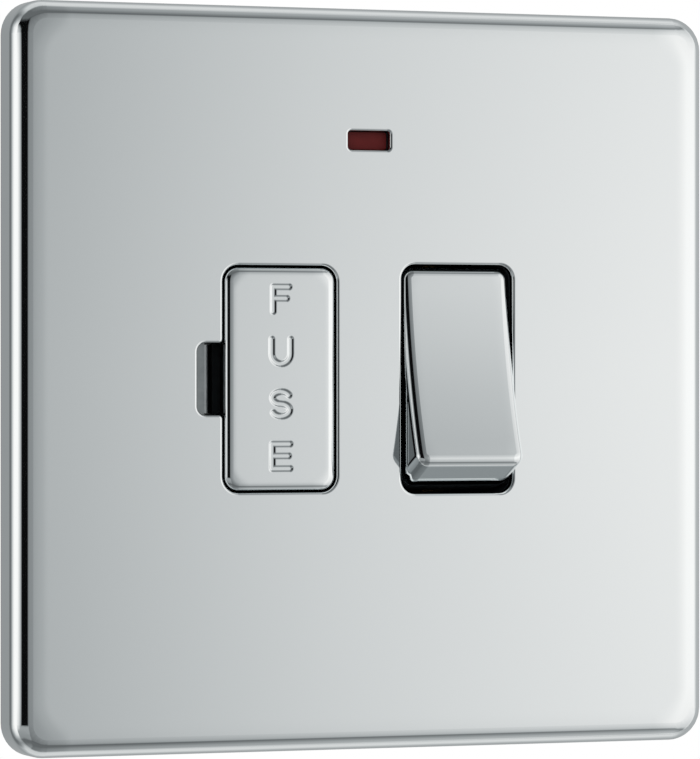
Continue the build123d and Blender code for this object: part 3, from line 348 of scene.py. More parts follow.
# %% [markdown]
# ### Bright chromium plate
#
# The plate, the rocker and the fuse cover are pressed steel, buffed, then plated with nickel and a thin
# layer of chromium. It mirrors the room almost sharply, with a slightly cool tint. Buffing leaves a haze
# that comes and goes over several millimetres, so the roughness wanders a little.

# %% Bright chromium plate
HAZE_SIZE = 7.0 * MM
HAZE_ROUGHNESS = (0.035, 0.055)
CHROMIUM = colour("#ECF0F1")


def chromium_plate(name):
    """A chrome finish, handed out with its nodes so that a pressing's own shape can be added to it."""
    material, tree, shader, place = new_material(name)
    hazy = {"Vector": place, "Scale": 1 / HAZE_SIZE, "Detail": 2.0}
    haze = add(tree, "ShaderNodeTexNoise", hazy).outputs[0]
    wander = {0: haze, **NOISE_SPAN, 3: HAZE_ROUGHNESS[0], 4: HAZE_ROUGHNESS[1]}
    buffed = add(tree, "ShaderNodeMapRange", wander).outputs[0]
    set_inputs(shader, {"Base Color": CHROMIUM, "Metallic": 1.0, "Roughness": buffed})
    return material, tree, shader, place


print("chrome ready, its haze about", HAZE_SIZE / MM, "mm across")

# %% [markdown]
# The buffing wheel also wears a flat face lower towards its rim, by a few hundredths of a millimetre. The
# eye can't see that, but a mirror shows it as a soft shade along the edges. It is too slight to model, so
# a bump does it: its height is the distance past a rounded rectangle, with a gentle start. The same bump
# serves the plate, the rocker's face and the fuse cover.

# %% Worn rim of the plate
PLATE_FLAT = 45.1 * MM
PLATE_CORNER = 5.0 * MM
PLATE_SOFT = 2.2 * MM
# slope that the wear ends in
PLATE_WEAR = 0.09


def worn_rim(tree, place, centre, half, corner, soft):
    """How far a point lies past a rounded rectangle in X and Z, starting gently."""
    inner = (half[0] - corner, 1.0, half[1] - corner)
    offset = add(tree, "ShaderNodeVectorMath", {0: place, 1: centre}, operation="SUBTRACT").outputs[0]
    folded = add(tree, "ShaderNodeVectorMath", {0: offset}, operation="ABSOLUTE").outputs[0]
    past = add(tree, "ShaderNodeVectorMath", {0: folded, 1: inner}, operation="SUBTRACT").outputs[0]
    outside = add(tree, "ShaderNodeVectorMath", {0: past, 1: (0, 0, 0)}, operation="MAXIMUM").outputs[0]
    reach = add(tree, "ShaderNodeVectorMath", {0: outside}, operation="LENGTH").outputs["Value"]
    beyond = add(tree, "ShaderNodeMath", {0: reach, 1: corner}, operation="SUBTRACT").outputs[0]
    return add(tree, "ShaderNodeMath", {0: beyond, 1: 0.0, 2: soft}, operation="SMOOTH_MAX").outputs[0]


plate_chrome, tree, shader, place = chromium_plate("bright_chromium_worn_rim")
worn = worn_rim(tree, place, (0, 0, 0), (PLATE_FLAT, PLATE_FLAT), PLATE_CORNER, PLATE_SOFT)
rolled_off = add(tree, "ShaderNodeBump", {"Height": worn, "Distance": PLATE_WEAR}, invert=True).outputs[0]
set_inputs(shader, {"Normal": rolled_off})
dress(plate_chrome, "front_plate")

# %% [markdown]
# Chromium hardly reaches into narrow openings while it is plated, because the current goes to the outer
# faces. On the walls of the plate's openings it stays thin and dark. Those walls also lie in shade, and
# that
# shade is painted into their colour too: a mask by depth and by the way a face looks darkens them, away
# from the plate's outer rim. Nobody buffs the back of a plate either, so faces that look back are duller.

# %% Dark walls inside the openings, thin plating with painted shade, and a dull back
OPENINGS_WITHIN = 44.0 * MM
DARK_FROM = -5.7 * MM
DARK_WHOLE = -5.4 * MM
# share of a normal along Y past which a face looks back
WALL_FACING = 0.6
BACK_ROUGHNESS = 0.38
depth = add(tree, "ShaderNodeSeparateXYZ", {0: place}).outputs["Y"]
recessed = add(tree, "ShaderNodeMapRange", {0: depth, 1: DARK_FROM, 2: DARK_WHOLE}).outputs[0]
folded = add(tree, "ShaderNodeVectorMath", {0: place}, operation="ABSOLUTE").outputs[0]
sides = add(tree, "ShaderNodeSeparateXYZ", {0: folded}).outputs
farther = add(tree, "ShaderNodeMath", {0: sides["X"], 1: sides["Z"]}, operation="MAXIMUM").outputs[0]
within = add(tree, "ShaderNodeMath", {0: farther, 1: OPENINGS_WITHIN}, operation="LESS_THAN").outputs[0]
normal = add(tree, "ShaderNodeNewGeometry").outputs["Normal"]
facing = add(tree, "ShaderNodeSeparateXYZ", {0: normal}).outputs["Y"]
wall = add(tree, "ShaderNodeMath", {0: facing, 1: WALL_FACING}, operation="LESS_THAN").outputs[0]
inside = add(tree, "ShaderNodeMath", {0: within, 1: wall}, operation="MULTIPLY").outputs[0]
# painted shade: this mask darkens the colour of the walls inside the openings, for their shade as well as
# their thin plating
thin_plating_and_painted_shade = add(tree, "ShaderNodeMath", {0: recessed, 1: inside}, operation="MULTIPLY").outputs[0]
plating_and_shade_colours = {0: thin_plating_and_painted_shade, 6: CHROMIUM, 7: colour("#1B1F20")}
plating_with_painted_shade = add(tree, "ShaderNodeMix", plating_and_shade_colours, data_type="RGBA").outputs[2]
buffed = shader.inputs["Roughness"].links[0].from_socket
unbuffed = {0: facing, 1: WALL_FACING, 2: 1.0, 3: buffed, 4: BACK_ROUGHNESS}
gloss = add(tree, "ShaderNodeMapRange", unbuffed).outputs[0]
set_inputs(shader, {"Base Color": plating_with_painted_shade, "Roughness": gloss})
print("openings darken between", round(DARK_FROM / MM, 2), "and", round(DARK_WHOLE / MM, 2), "mm")

# %% [markdown]
# The rocker's chin, the short wall below its face, is pressed a few degrees fuller than a straight draft,
# so that it mirrors the plate below instead of the gap. A second bump leans it, only at the low end and
# away from the flanks.

# %% Rocker finish
FACE_CENTRE = (12.2 * MM, 0, 2.0 * MM)
FACE_HALF = (6.25 * MM, 10.9 * MM)
FACE_CORNER = 1.5 * MM
FACE_SOFT = 1.3 * MM
FACE_WEAR = 0.02
CHIN_TOP = -10.7 * MM
CHIN_WHOLE = -11.3 * MM
# slope of that lean
CHIN_LEAN = 0.13
# share of a normal along X: a flank has more than the first, the chin less than the second
FLANK_FACING = 0.7
CHIN_FACING = 0.4
rocker_chrome, tree, shader, place = chromium_plate("bright_chromium_rocker")
worn = worn_rim(tree, place, FACE_CENTRE, FACE_HALF, FACE_CORNER, FACE_SOFT)
rolled_off = add(tree, "ShaderNodeBump", {"Height": worn, "Distance": FACE_WEAR}, invert=True).outputs[0]
along = add(tree, "ShaderNodeSeparateXYZ", {0: place}).outputs
low_end = add(tree, "ShaderNodeMapRange", {0: along["Z"], 1: CHIN_TOP, 2: CHIN_WHOLE}).outputs[0]
normal = add(tree, "ShaderNodeNewGeometry").outputs["Normal"]
sideways = add(tree, "ShaderNodeSeparateXYZ", {0: normal}).outputs["X"]
flank = add(tree, "ShaderNodeMath", {0: sideways}, operation="ABSOLUTE").outputs[0]
not_flank = add(tree, "ShaderNodeMapRange", {0: flank, 1: FLANK_FACING, 2: CHIN_FACING}).outputs[0]
chin = add(tree, "ShaderNodeMath", {0: low_end, 1: not_flank}, operation="MULTIPLY").outputs[0]
lean = {"Height": along["Y"], "Distance": CHIN_LEAN, "Strength": chin, "Normal": rolled_off}
set_inputs(shader, {"Normal": add(tree, "ShaderNodeBump", lean).outputs[0]})
dress(rocker_chrome, "rocker_cap")

# %% [markdown]
# ### Black urea moulding
#
# The frame, the housing, the rocker's core and the fuse carrier are moulded in black urea, a hard
# thermoset that doesn't melt near a hot contact. It comes from a fine spark-eroded mould: satin, with a
# grain that one feels more than sees, drawn here coarser than the real tenth of a millimetre so that it
# shows. The cellulose filler shows as a faint mottle in the black.

# %% Black urea moulding
GRAIN_SIZE = 0.35 * MM
MOTTLE_SIZE = 2.5 * MM
GRAIN_DEPTH = 0.03 * MM
SATIN_ROUGHNESS = (0.36, 0.5)
moulding, tree, shader, place = new_material("black_urea_moulding")
blotchy = {"Vector": place, "Scale": 1 / MOTTLE_SIZE, "Detail": 4.0}
mottle = add(tree, "ShaderNodeTexNoise", blotchy).outputs[0]
filler = [(0.32, colour("#1E2326")), (0.70, colour("#2A3033"))]
tone = add(tree, "ShaderNodeValToRGB", {0: mottle}, filler).outputs[0]
grainy = {"Vector": place, "Scale": 1 / GRAIN_SIZE, "Detail": 2.0}
grain = add(tree, "ShaderNodeTexNoise", grainy).outputs[0]
sheen = {0: grain, **NOISE_SPAN, 3: SATIN_ROUGHNESS[0], 4: SATIN_ROUGHNESS[1]}
satin = add(tree, "ShaderNodeMapRange", sheen).outputs[0]
eroded = {"Height": grain, "Strength": 0.35, "Distance": GRAIN_DEPTH}
relief = add(tree, "ShaderNodeBump", eroded).outputs[0]
set_inputs(shader, {"Base Color": tone, "Roughness": satin, "Normal": relief})
dress(moulding, "mounting_frame", "rear_housing", "rocker_dolly", "fuse_carrier")

# %% [markdown]
# ### Rolled metals
#
# The conductor strips are cut from rolled brass, the rocking contacts from rolled phosphor bronze. Rolling
# leaves fine lines that run the length of the coil, a few hundredths of a millimetre apart. They are drawn
# coarser here so that they show. Stretching one noise along the strip gives the lines, a change of tone,
# and a change of gloss.

# %% Rolled brass and bronze
ROLLING_LINE = 0.12 * MM
ROLLING_LENGTH = 5.0 * MM
LINE_DEPTH = 0.006 * MM
ROLLED_ROUGHNESS = (0.24, 0.38)
ROLLED = {
    "rolled_brass_strip": ("#C49A52", "#DDBC78"),
    "rolled_phosphor_bronze": ("#A96C46", "#CB9068"),
}
rolled = {}
for name, (dark, light) in ROLLED.items():
    rolled[name], tree, shader, place = new_material(name)
    stretch = (1 / ROLLING_LINE, 1 / ROLLING_LINE, 1 / ROLLING_LENGTH)
    along = add(tree, "ShaderNodeMapping", {"Vector": place, "Scale": stretch}).outputs[0]
    lines = add(tree, "ShaderNodeTexNoise", {"Vector": along, "Scale": 1.0, "Detail": 3.0}).outputs[0]
    tones = [(NOISE_LOW, colour(dark)), (NOISE_HIGH, colour(light))]
    tone = add(tree, "ShaderNodeValToRGB", {0: lines}, tones).outputs[0]
    streaks = {0: lines, **NOISE_SPAN, 3: ROLLED_ROUGHNESS[0], 4: ROLLED_ROUGHNESS[1]}
    gloss = add(tree, "ShaderNodeMapRange", streaks).outputs[0]
    scored = {"Height": lines, "Strength": 0.4, "Distance": LINE_DEPTH}
    relief = add(tree, "ShaderNodeBump", scored).outputs[0]
    set_inputs(shader, {"Base Color": tone, "Roughness": gloss, "Normal": relief, "Metallic": 1.0})
strips = [name for name in nodes if name.endswith("_strip")]
dress(rolled["rolled_brass_strip"], *strips, "earth_strap")
dress(rolled["rolled_phosphor_bronze"], "live_moving_contact", "neutral_moving_contact")

# %% [markdown]
# ### Milled brass
#
# The six terminals are sawn from extruded brass bar and milled to length, then bored and tapped. A milling
# cutter leaves shallow arcs at every feed, about 0.2 mm apart. They are drawn four times as coarse so that
# they show, as rings about a far centre. The wave node turns through 20 radians in each unit of length.

# %% Milled brass
ARC_SPACING = 0.8 * MM
WAVE_RADIANS = 20
CUTTER_OFFSET = (9 * MM, 0, 14 * MM)
CUT_DEPTH = 0.008 * MM
MILLED_ROUGHNESS = (0.22, 0.33)
milled, tree, shader, place = new_material("milled_brass_block")
centred = add(tree, "ShaderNodeMapping", {"Vector": place, "Location": CUTTER_OFFSET}).outputs[0]
rings = {"Vector": centred, "Scale": 2 * math.pi / (WAVE_RADIANS * ARC_SPACING)}
arcs = add(tree, "ShaderNodeTexWave", rings, wave_type="RINGS", rings_direction="Y").outputs["Fac"]
tones = [(0.2, colour("#D0AB64")), (0.8, colour("#DDBC78"))]
tone = add(tree, "ShaderNodeValToRGB", {0: arcs}, tones).outputs[0]
sheen = {0: arcs, 3: MILLED_ROUGHNESS[0], 4: MILLED_ROUGHNESS[1]}
gloss = add(tree, "ShaderNodeMapRange", sheen).outputs[0]
relief = add(tree, "ShaderNodeBump", {"Height": arcs, "Strength": 0.5, "Distance": CUT_DEPTH}).outputs[0]
set_inputs(shader, {"Base Color": tone, "Roughness": gloss, "Normal": relief, "Metallic": 1.0})
dress(milled, *[name for name in nodes if name.endswith("_terminal")])

# %% [markdown]
# ### Plated and drawn metals
#
# Six more metals differ only in tone, in gloss and in the size of their patches, so one loop makes them.
# Bright nickel keeps the fuse clips clean. The earth leaf behind the notch is a duller nickel, and its
# darker, cooler tone is painted shade, because it sits in shade behind the notch. Zinc on the screws is
# passivated, so patches lean to blue and straw. Silver rivets have a first bloom of tarnish. Spring wire
# and tinned wire are drawn through a die, which leaves their gloss a little uneven.

# %% Plated and drawn metals
# dark and light tone, size of a patch, lowest and highest roughness
PLATED = {
    "bright_nickel_plate": ("#A7A397", "#C6C2B7", 1.6 * MM, 0.22, 0.36),
    "dull_nickel_with_painted_shade": ("#878D8F", "#9EA4A6", 1.6 * MM, 0.34, 0.46),
    "passivated_zinc_plate": ("#A9B2BF", "#CFCBBB", 0.9 * MM, 0.26, 0.42),
    "tarnished_silver": ("#C9C0AC", "#E9E7E1", 0.6 * MM, 0.20, 0.38),
    "drawn_spring_wire": ("#77797D", "#A2A4A8", 0.5 * MM, 0.28, 0.42),
    "tinned_copper_wire": ("#B3B4B1", "#D3D4D1", 0.7 * MM, 0.25, 0.45),
}
plated = {}
for name, (dark, light, patch, smooth, rough) in PLATED.items():
    plated[name], tree, shader, place = new_material(name)
    patchy = {"Vector": place, "Scale": 1 / patch, "Detail": 3.0}
    patches = add(tree, "ShaderNodeTexNoise", patchy).outputs[0]
    tones = [(NOISE_LOW, colour(dark)), (NOISE_HIGH, colour(light))]
    tone = add(tree, "ShaderNodeValToRGB", {0: patches}, tones).outputs[0]
    sheen = {0: patches, **NOISE_SPAN, 3: smooth, 4: rough}
    gloss = add(tree, "ShaderNodeMapRange", sheen).outputs[0]
    set_inputs(shader, {"Base Color": tone, "Roughness": gloss, "Metallic": 1.0})
dress(plated["bright_nickel_plate"], "upper_fuse_clip", "lower_fuse_clip", "fuse_caps")
# painted shade: the earth leaf's darker, cooler tone stands in for the shade behind the notch, and its
# higher roughness is its own
dress(plated["dull_nickel_with_painted_shade"], "earth_leaf")
dress(plated["passivated_zinc_plate"], "housing_screws", "terminal_screws")
dress(plated["tarnished_silver"], "fixed_contact_rivets", "live_moving_rivet", "neutral_moving_rivet")
dress(plated["drawn_spring_wire"], "plunger_springs")
dress(plated["tinned_copper_wire"], "neon_leads")

# %% [markdown]
# ### Nylon
#
# The plungers are natural nylon, which slides without grease. It is milky, because light goes a little way
# in and comes out again, so the shader gets some subsurface light instead of a plain paint.

# %% Natural nylon
NYLON_CLOUD = 1.2 * MM
NYLON_DEPTH = 0.8 * MM
nylon, tree, shader, place = new_material("natural_nylon")
cloudy = {"Vector": place, "Scale": 1 / NYLON_CLOUD, "Detail": 2.0}
cloud = add(tree, "ShaderNodeTexNoise", cloudy).outputs[0]
milk = [(NOISE_LOW, colour("#DDD7C3")), (NOISE_HIGH, colour("#EBE6D6"))]
tone = add(tree, "ShaderNodeValToRGB", {0: cloud}, milk).outputs[0]
set_inputs(shader, {"Base Color": tone, "Roughness": 0.42})
set_inputs(shader, {"Subsurface Weight": 0.3, "Subsurface Scale": NYLON_DEPTH})
dress(nylon, "plungers")

# %% [markdown]
# ### Ceramic
#
# The fuse link is a steatite tube, fired without glaze, so it is chalky and shows a speckle of minerals.
# The real speckle is finer than the render can show, so it is drawn at a fifth of a millimetre.

# %% Unglazed steatite
SPECKLE_SIZE = 0.18 * MM
SPECKLE_DEPTH = 0.015 * MM
ceramic, tree, shader, place = new_material("unglazed_steatite")
fine = {"Vector": place, "Scale": 1 / SPECKLE_SIZE, "Detail": 3.0}
speckle = add(tree, "ShaderNodeTexNoise", fine).outputs[0]
mineral = [(0.28, colour("#CFC8B8")), (0.45, colour("#E9E5DA")), (0.8, colour("#F1EEE6"))]
tone = add(tree, "ShaderNodeValToRGB", {0: speckle}, mineral).outputs[0]
fired = {"Height": speckle, "Strength": 0.3, "Distance": SPECKLE_DEPTH}
relief = add(tree, "ShaderNodeBump", fired).outputs[0]
set_inputs(shader, {"Base Color": tone, "Normal": relief, "Roughness": 0.68})
dress(ceramic, "fuse_tube")

# %% [markdown]
# ### The lens
#
# The neon's lens is dark red polycarbonate. With the lamp off it is a deep, even red with hardly a cloud
# in it. Its face is etched, so it spreads light and mirrors little: a high roughness and a low specular
# level.

# %% Red lens
LENS_CLOUD = 3.0 * MM
lens, tree, shader, place = new_material("dark_red_polycarbonate")
cloudy = {"Vector": place, "Scale": 1 / LENS_CLOUD, "Detail": 1.0}
cloud = add(tree, "ShaderNodeTexNoise", cloudy).outputs[0]
deep = [(0.35, colour("#581A1A")), (0.65, colour("#5F1D1D"))]
tone = add(tree, "ShaderNodeValToRGB", {0: cloud}, deep).outputs[0]
set_inputs(shader, {"Base Color": tone, "Roughness": 0.5, "IOR": 1.58, "Specular IOR Level": 0.12})
dress(lens, "neon_lens")

# %% [markdown]
# ### The lamp
#
# The neon lamp behind the lens is blown soda glass: clear, with slow ripples that bend what shows through
# it. A slight bump gives the ripples, and the shader's transmission does the rest.

# %% Lamp glass
GLASS_RIPPLE = 2.0 * MM
RIPPLE_DEPTH = 0.02 * MM
glass, tree, shader, place = new_material("blown_soda_glass")
slow = {"Vector": place, "Scale": 1 / GLASS_RIPPLE, "Detail": 1.0}
ripple = add(tree, "ShaderNodeTexNoise", slow).outputs[0]
blown = {"Height": ripple, "Strength": 0.3, "Distance": RIPPLE_DEPTH}
relief = add(tree, "ShaderNodeBump", blown).outputs[0]
set_inputs(shader, {"Base Color": colour("#F6FAF8"), "Roughness": 0.03, "Normal": relief})
set_inputs(shader, {"IOR": 1.52, "Transmission Weight": 1.0})
dress(glass, "neon_lamp")

# %% [markdown]
# ### The resistor
#
# A resistor in series keeps the neon's current low. It wears a glossy tan lacquer and four painted rings
# that tell its value. Each ring could be a thin sleeve, but stops on a ramp along the axis paint them as
# they are.

# %% Banded resistor
# shares of the resistor's length
BAND_START = 0.15
BAND_PITCH = 0.18
BAND_WIDTH = 0.09
BAND_COLOURS = ("#7A4A21", "#2A2724", "#D9B23A", "#B08A3C")
TAN = colour("#C8A777")
resistor_low, resistor_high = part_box("neon_resistor")
lacquer, tree, shader, place = new_material("tan_resistor_lacquer")
axis = add(tree, "ShaderNodeSeparateXYZ", {0: place}).outputs["Y"]
share = add(tree, "ShaderNodeMapRange", {0: axis, 1: resistor_low.y, 2: resistor_high.y}).outputs[0]
rings = [(0.0, TAN)]
for index, paint in enumerate(BAND_COLOURS):
    start = BAND_START + BAND_PITCH * index
    rings += [(start, colour(paint)), (start + BAND_WIDTH, TAN)]
bands = add(tree, "ShaderNodeValToRGB", {0: share}, rings)
bands.color_ramp.interpolation = "CONSTANT"
set_inputs(shader, {"Base Color": bands.outputs[0], "Roughness": 0.25})
dress(lacquer, "neon_resistor")

# %% [markdown]
# ## Making a piece from a mesh
#
# The next pieces replace plain solids with finer ones. Each is a bmesh, turned into an object that sits at
# the origin with its place in its mesh. Smooth shading with weighted normals keeps broad faces flat and
# small rounds soft.

# %% Turn a bmesh into a piece
TINY = 0.001 * MM
SHARP_ANGLE = math.radians(40)


def make_piece(name, mesh, material, body):
    """An object made from a bmesh, in its finish, riding on a body."""
    data = bpy.data.meshes.new(name)
    mesh.to_mesh(data)
    mesh.free()
    data.shade_smooth()
    data.set_sharp_from_angle(angle=SHARP_ANGLE)
    data.materials.append(material)
    piece = bpy.data.objects.new(name, data)
    scene.collection.objects.link(piece)
    weighted = piece.modifiers.new("even_shading", "WEIGHTED_NORMAL")
    weighted.keep_sharp = True
    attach(piece, body)
    print(name, "has", len(data.polygons), "faces")
    return piece


print("edges stay sharp past", round(math.degrees(SHARP_ANGLE)), "degrees")

# %% [markdown]
# ## The stamped fuse cover
#
# The cover is a pressed cap, and the word FUSE is struck into it with a round-edged stamp, one letter
# below the other. A boolean with a font would leave knife edges and long thin triangles that spoil a
# mirror. So the cap is bevelled from a cube, with a pocket in its back for the carrier, and a dense grid
# is let into its face.

# %% Press the cap
COVER_CORNER = 1.9 * MM
COVER_EDGE = 1.0 * MM
COVER_SHEET = 0.9 * MM
cover_low, cover_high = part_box("fuse_cover")
cover_size = cover_high - cover_low
cover_middle = (cover_low + cover_high) / 2
cover = bmesh.new()
bmesh.ops.create_cube(cover, size=1.0)
bmesh.ops.scale(cover, vec=cover_size, verts=cover.verts)
bmesh.ops.translate(cover, vec=cover_middle, verts=cover.verts)
upright = [edge for edge in cover.edges if abs(edge.verts[0].co.y - edge.verts[1].co.y) > TINY]
bmesh.ops.bevel(
    cover, geom=upright, offset=COVER_CORNER, segments=10, profile=0.5, affect="EDGES", material=-1
)
rim = [edge for edge in cover.edges if all(vert.co.y < cover_low.y + TINY for vert in edge.verts)]
bmesh.ops.bevel(
    cover, geom=rim, offset=COVER_EDGE, segments=8, profile=0.5, affect="EDGES", material=-1
)
back = max(cover.faces, key=lambda face: face.calc_center_median().y)
bmesh.ops.inset_region(cover, faces=[back], thickness=COVER_SHEET)
pocket = bmesh.ops.extrude_discrete_faces(cover, faces=[back])["faces"][0]
bmesh.ops.translate(cover, vec=(0, COVER_SHEET - cover_size.y, 0), verts=pocket.verts)
print("cap pressed:", len(cover.faces), "faces")

# %% [markdown]
# The cover is buffed by itself before it is fitted, so its chrome has a worn rim of its own. The plate's
# material won't do, because its rim is laid out about the plate's middle. This one is laid out from the
# cap's flat face.

# %% Chrome of the cover
COVER_ROUND = 2.3 * MM
COVER_SOFT = 0.8 * MM
COVER_WEAR = 0.05
cover_chrome, tree, shader, place = chromium_plate("bright_chromium_cover")
cover_half = cover_size / 2 - Vector((COVER_EDGE, 0, COVER_EDGE))
worn = worn_rim(tree, place, cover_middle, (cover_half.x, cover_half.z), COVER_ROUND, COVER_SOFT)
rolled_off = add(tree, "ShaderNodeBump", {"Height": worn, "Distance": COVER_WEAR}, invert=True).outputs[0]
set_inputs(shader, {"Normal": rolled_off})
dress(cover_chrome, "fuse_cover")

# %% [markdown]
# A letter is a few strokes, and a stroke is a line from one point to another, in millimetres from the
# letter's middle. The round parts of U and S are chains of short strokes along an arc. The stamp's strokes
# have round ends, because the metal can't follow a square one.

# %% Draw the strokes of the word
CAP_HEIGHT = 3.12
LETTER_PITCH = 6.66
WORD_CENTRE = (-12.2, 0.16)
HALF_WIDTH = {"F": 1.07, "U": 1.28, "S": 1.18, "E": 1.2}
F_ARM_END = (0.75, 0.1)
E_ARM_END = (1.0, 0.05)
UPPER_BOW = (25, 250)
LOWER_BOW = (70, -155)
ARC_STEPS = 14


def arc(centre, radii, start, end):
    """Points along an arc of an ellipse, the angles in degrees from the right, anticlockwise."""
    turns = [math.radians(start + (end - start) * step / ARC_STEPS) for step in range(ARC_STEPS + 1)]
    return [Vector((centre[0] + radii[0] * math.cos(t), centre[1] + radii[1] * math.sin(t))) for t in turns]


def chain(*points):
    """The strokes that join points in turn."""
    return [(Vector(first), Vector(second)) for first, second in zip(points, points[1:])]


top = CAP_HEIGHT / 2
bow = CAP_HEIGHT / 4
f_side, u_side, s_side, e_side = HALF_WIDTH.values()
f_frame = chain((f_side, top), (-f_side, top), (-f_side, -top))
f_arm = chain((-f_side, F_ARM_END[1]), F_ARM_END)
u_bowl = arc((0, u_side - top), (u_side, u_side), 180, 360)
s_curve = arc((0, bow), (s_side, bow), *UPPER_BOW) + arc((0, -bow), (s_side, bow), *LOWER_BOW)
e_frame = chain((e_side, top), (-e_side, top), (-e_side, -top), (e_side, -top))
e_arm = chain((-e_side, E_ARM_END[1]), E_ARM_END)
LETTERS = (f_frame + f_arm, chain((-u_side, top), *u_bowl, (u_side, top)), chain(*s_curve), e_frame + e_arm)
LAST_LETTER = len(LETTERS) - 1
word = []
for index, strokes in enumerate(LETTERS):
    middle = Vector((WORD_CENTRE[0], WORD_CENTRE[1] + LETTER_PITCH * (LAST_LETTER / 2 - index)))
    word.append([(first + middle, second + middle) for first, second in strokes])
print("strokes:", [len(strokes) for strokes in word])

# %% [markdown]
# The grid is about 0.06 mm fine, half a pixel of the picture. The front face is cut out, inside a narrow
# flat rim that keeps the shading of the rounded edge from bleeding in, and triangles fill the space
# between that rim and the grid.

# %% Let a fine grid into the face
SOFT_RIM = 0.15 * MM
PANEL_MARGIN = 0.9
PANEL_STEP = 0.06
panel_width = 2 * (max(HALF_WIDTH.values()) + PANEL_MARGIN)
panel_height = LETTER_PITCH * LAST_LETTER + CAP_HEIGHT + 2 * PANEL_MARGIN
panel_place = (
    Matrix.Translation((WORD_CENTRE[0] * MM, cover_low.y, WORD_CENTRE[1] * MM))
    @ Matrix.Rotation(math.pi / 2, 4, "X")
    @ Matrix.Diagonal((panel_width * MM, panel_height * MM, 1, 1))
)
front = min(cover.faces, key=lambda face: face.calc_center_median().y)
bmesh.ops.inset_region(cover, faces=[front], thickness=SOFT_RIM)
front_loop = list(front.edges)
bmesh.ops.delete(cover, geom=[front], context="FACES_ONLY")
panel = bmesh.ops.create_grid(
    cover,
    x_segments=round(panel_width / PANEL_STEP),
    y_segments=round(panel_height / PANEL_STEP),
    size=0.5,
    matrix=panel_place,
)["verts"]
border = {edge for vert in panel for edge in vert.link_edges if edge.is_boundary}
bmesh.ops.triangle_fill(cover, use_beauty=True, edges=front_loop + list(border), normal=(0, -1, 0))
print("grid:", len(panel), "vertices over", round(panel_width, 2), "by", round(panel_height, 2), "mm")

# %% [markdown]
# A vertex of the grid sinks where it is near the centre line of a letter, in a smooth curve from the edge
# of the stroke to its floor, as sheet metal does round a stamp.

# %% Stamp the word
STROKE_HALF = 0.45
STAMP_DEPTH = 0.13
STAMP_WALL = 0.27


def distance_to_stroke(point, stroke):
    """How far a point is from a stroke's centre line."""
    first, second = stroke
    along = second - first
    share = min(max((point - first).dot(along) / along.length_squared, 0.0), 1.0)
    return (point - first - share * along).length


for vert in panel:
    point = Vector((vert.co.x, vert.co.z)) / MM
    letter = round(LAST_LETTER / 2 - (point.y - WORD_CENTRE[1]) / LETTER_PITCH)
    strokes = word[min(max(letter, 0), LAST_LETTER)]
    near = min(distance_to_stroke(point, stroke) for stroke in strokes)
    sunk = min(max((STROKE_HALF - near) / STAMP_WALL, 0.0), 1.0)
    vert.co.y += STAMP_DEPTH * MM * sunk * sunk * (3 - 2 * sunk)
bmesh.ops.recalc_face_normals(cover, faces=cover.faces)
stamped_cover = make_piece("stamped_fuse_cover", cover, cover_chrome, "carrier")
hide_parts("fuse_cover")

# %% [markdown]
# ## Threaded screws
#
# The solids' screws are plain pins with a slotted head. Real ones have a rolled thread. It is modelled as
# a screw moves: a zigzag profile, one pitch long, is spun round the axis while it climbs, so that every
# turn joins the one before. The skin is cut flat at both ends and capped, and its tip is turned down to a
# blunt point.

# %% Roll a thread
THREAD_STEPS = 28
# share of the pitch, share of the thread's depth
THREAD_FLANKS = ((0.0, 0.0), (0.1, 0.0), (0.42, 1.0), (0.68, 1.0), (1.0, 0.0))
TIP_SHARE = 0.5
HEAD_OVERLAP = 0.1 * MM
CUT_SNAP = TINY / 10


def roll_thread(mesh, radius, cut, pitch, length):
    """A capped thread along Y, from the tip at -length to just inside the head at the origin."""
    turns = math.ceil((length + HEAD_OVERLAP) / pitch) + 1
    first = -length - pitch
    profile = [
        mesh.verts.new((radius - cut * deep, first + share * pitch, 0)) for share, deep in THREAD_FLANKS
    ]
    edges = [mesh.edges.new(pair) for pair in zip(profile, profile[1:])]
    bmesh.ops.spin(
        mesh,
        geom=profile + edges,
        axis=(0, 1, 0),
        dvec=(0, pitch / THREAD_STEPS, 0),
        angle=2 * math.pi * turns,
        steps=THREAD_STEPS * turns,
    )
    bmesh.ops.remove_doubles(mesh, verts=mesh.verts, dist=TINY)
    for level, side in ((-length, -1), (HEAD_OVERLAP, 1)):
        whole = [*mesh.verts, *mesh.edges, *mesh.faces]
        plane = {"plane_co": (0, level, 0), "plane_no": (0, side, 0)}
        end = bmesh.ops.bisect_plane(mesh, geom=whole, dist=CUT_SNAP, clear_outer=True, **plane)["geom_cut"]
        bmesh.ops.edgeloop_fill(mesh, edges=[part for part in end if isinstance(part, bmesh.types.BMEdge)])
    for vert in mesh.verts:
        allowed = radius * TIP_SHARE + vert.co.y + length
        reach = math.hypot(vert.co.x, vert.co.z)
        if reach > allowed:
            bmesh.ops.scale(mesh, vec=(allowed / reach, 1, allowed / reach), verts=[vert])


print("thread:", THREAD_STEPS, "steps in each turn")

# %% [markdown]
# The head is a disc, split by two cuts along the slot. It is raised as far as the slot's floor, and then
# the two lands beside the slot are pulled up and rounded at the rim. A boolean would cut the slot too, but
# this keeps every face clean.

# %% Form a slotted head
HEAD_STEPS = 48
HEAD_ROUND = 0.3 * MM
FACE_BACK = Matrix.Rotation(math.pi, 4, "Z") @ Matrix.Rotation(math.pi / 2, 4, "X")


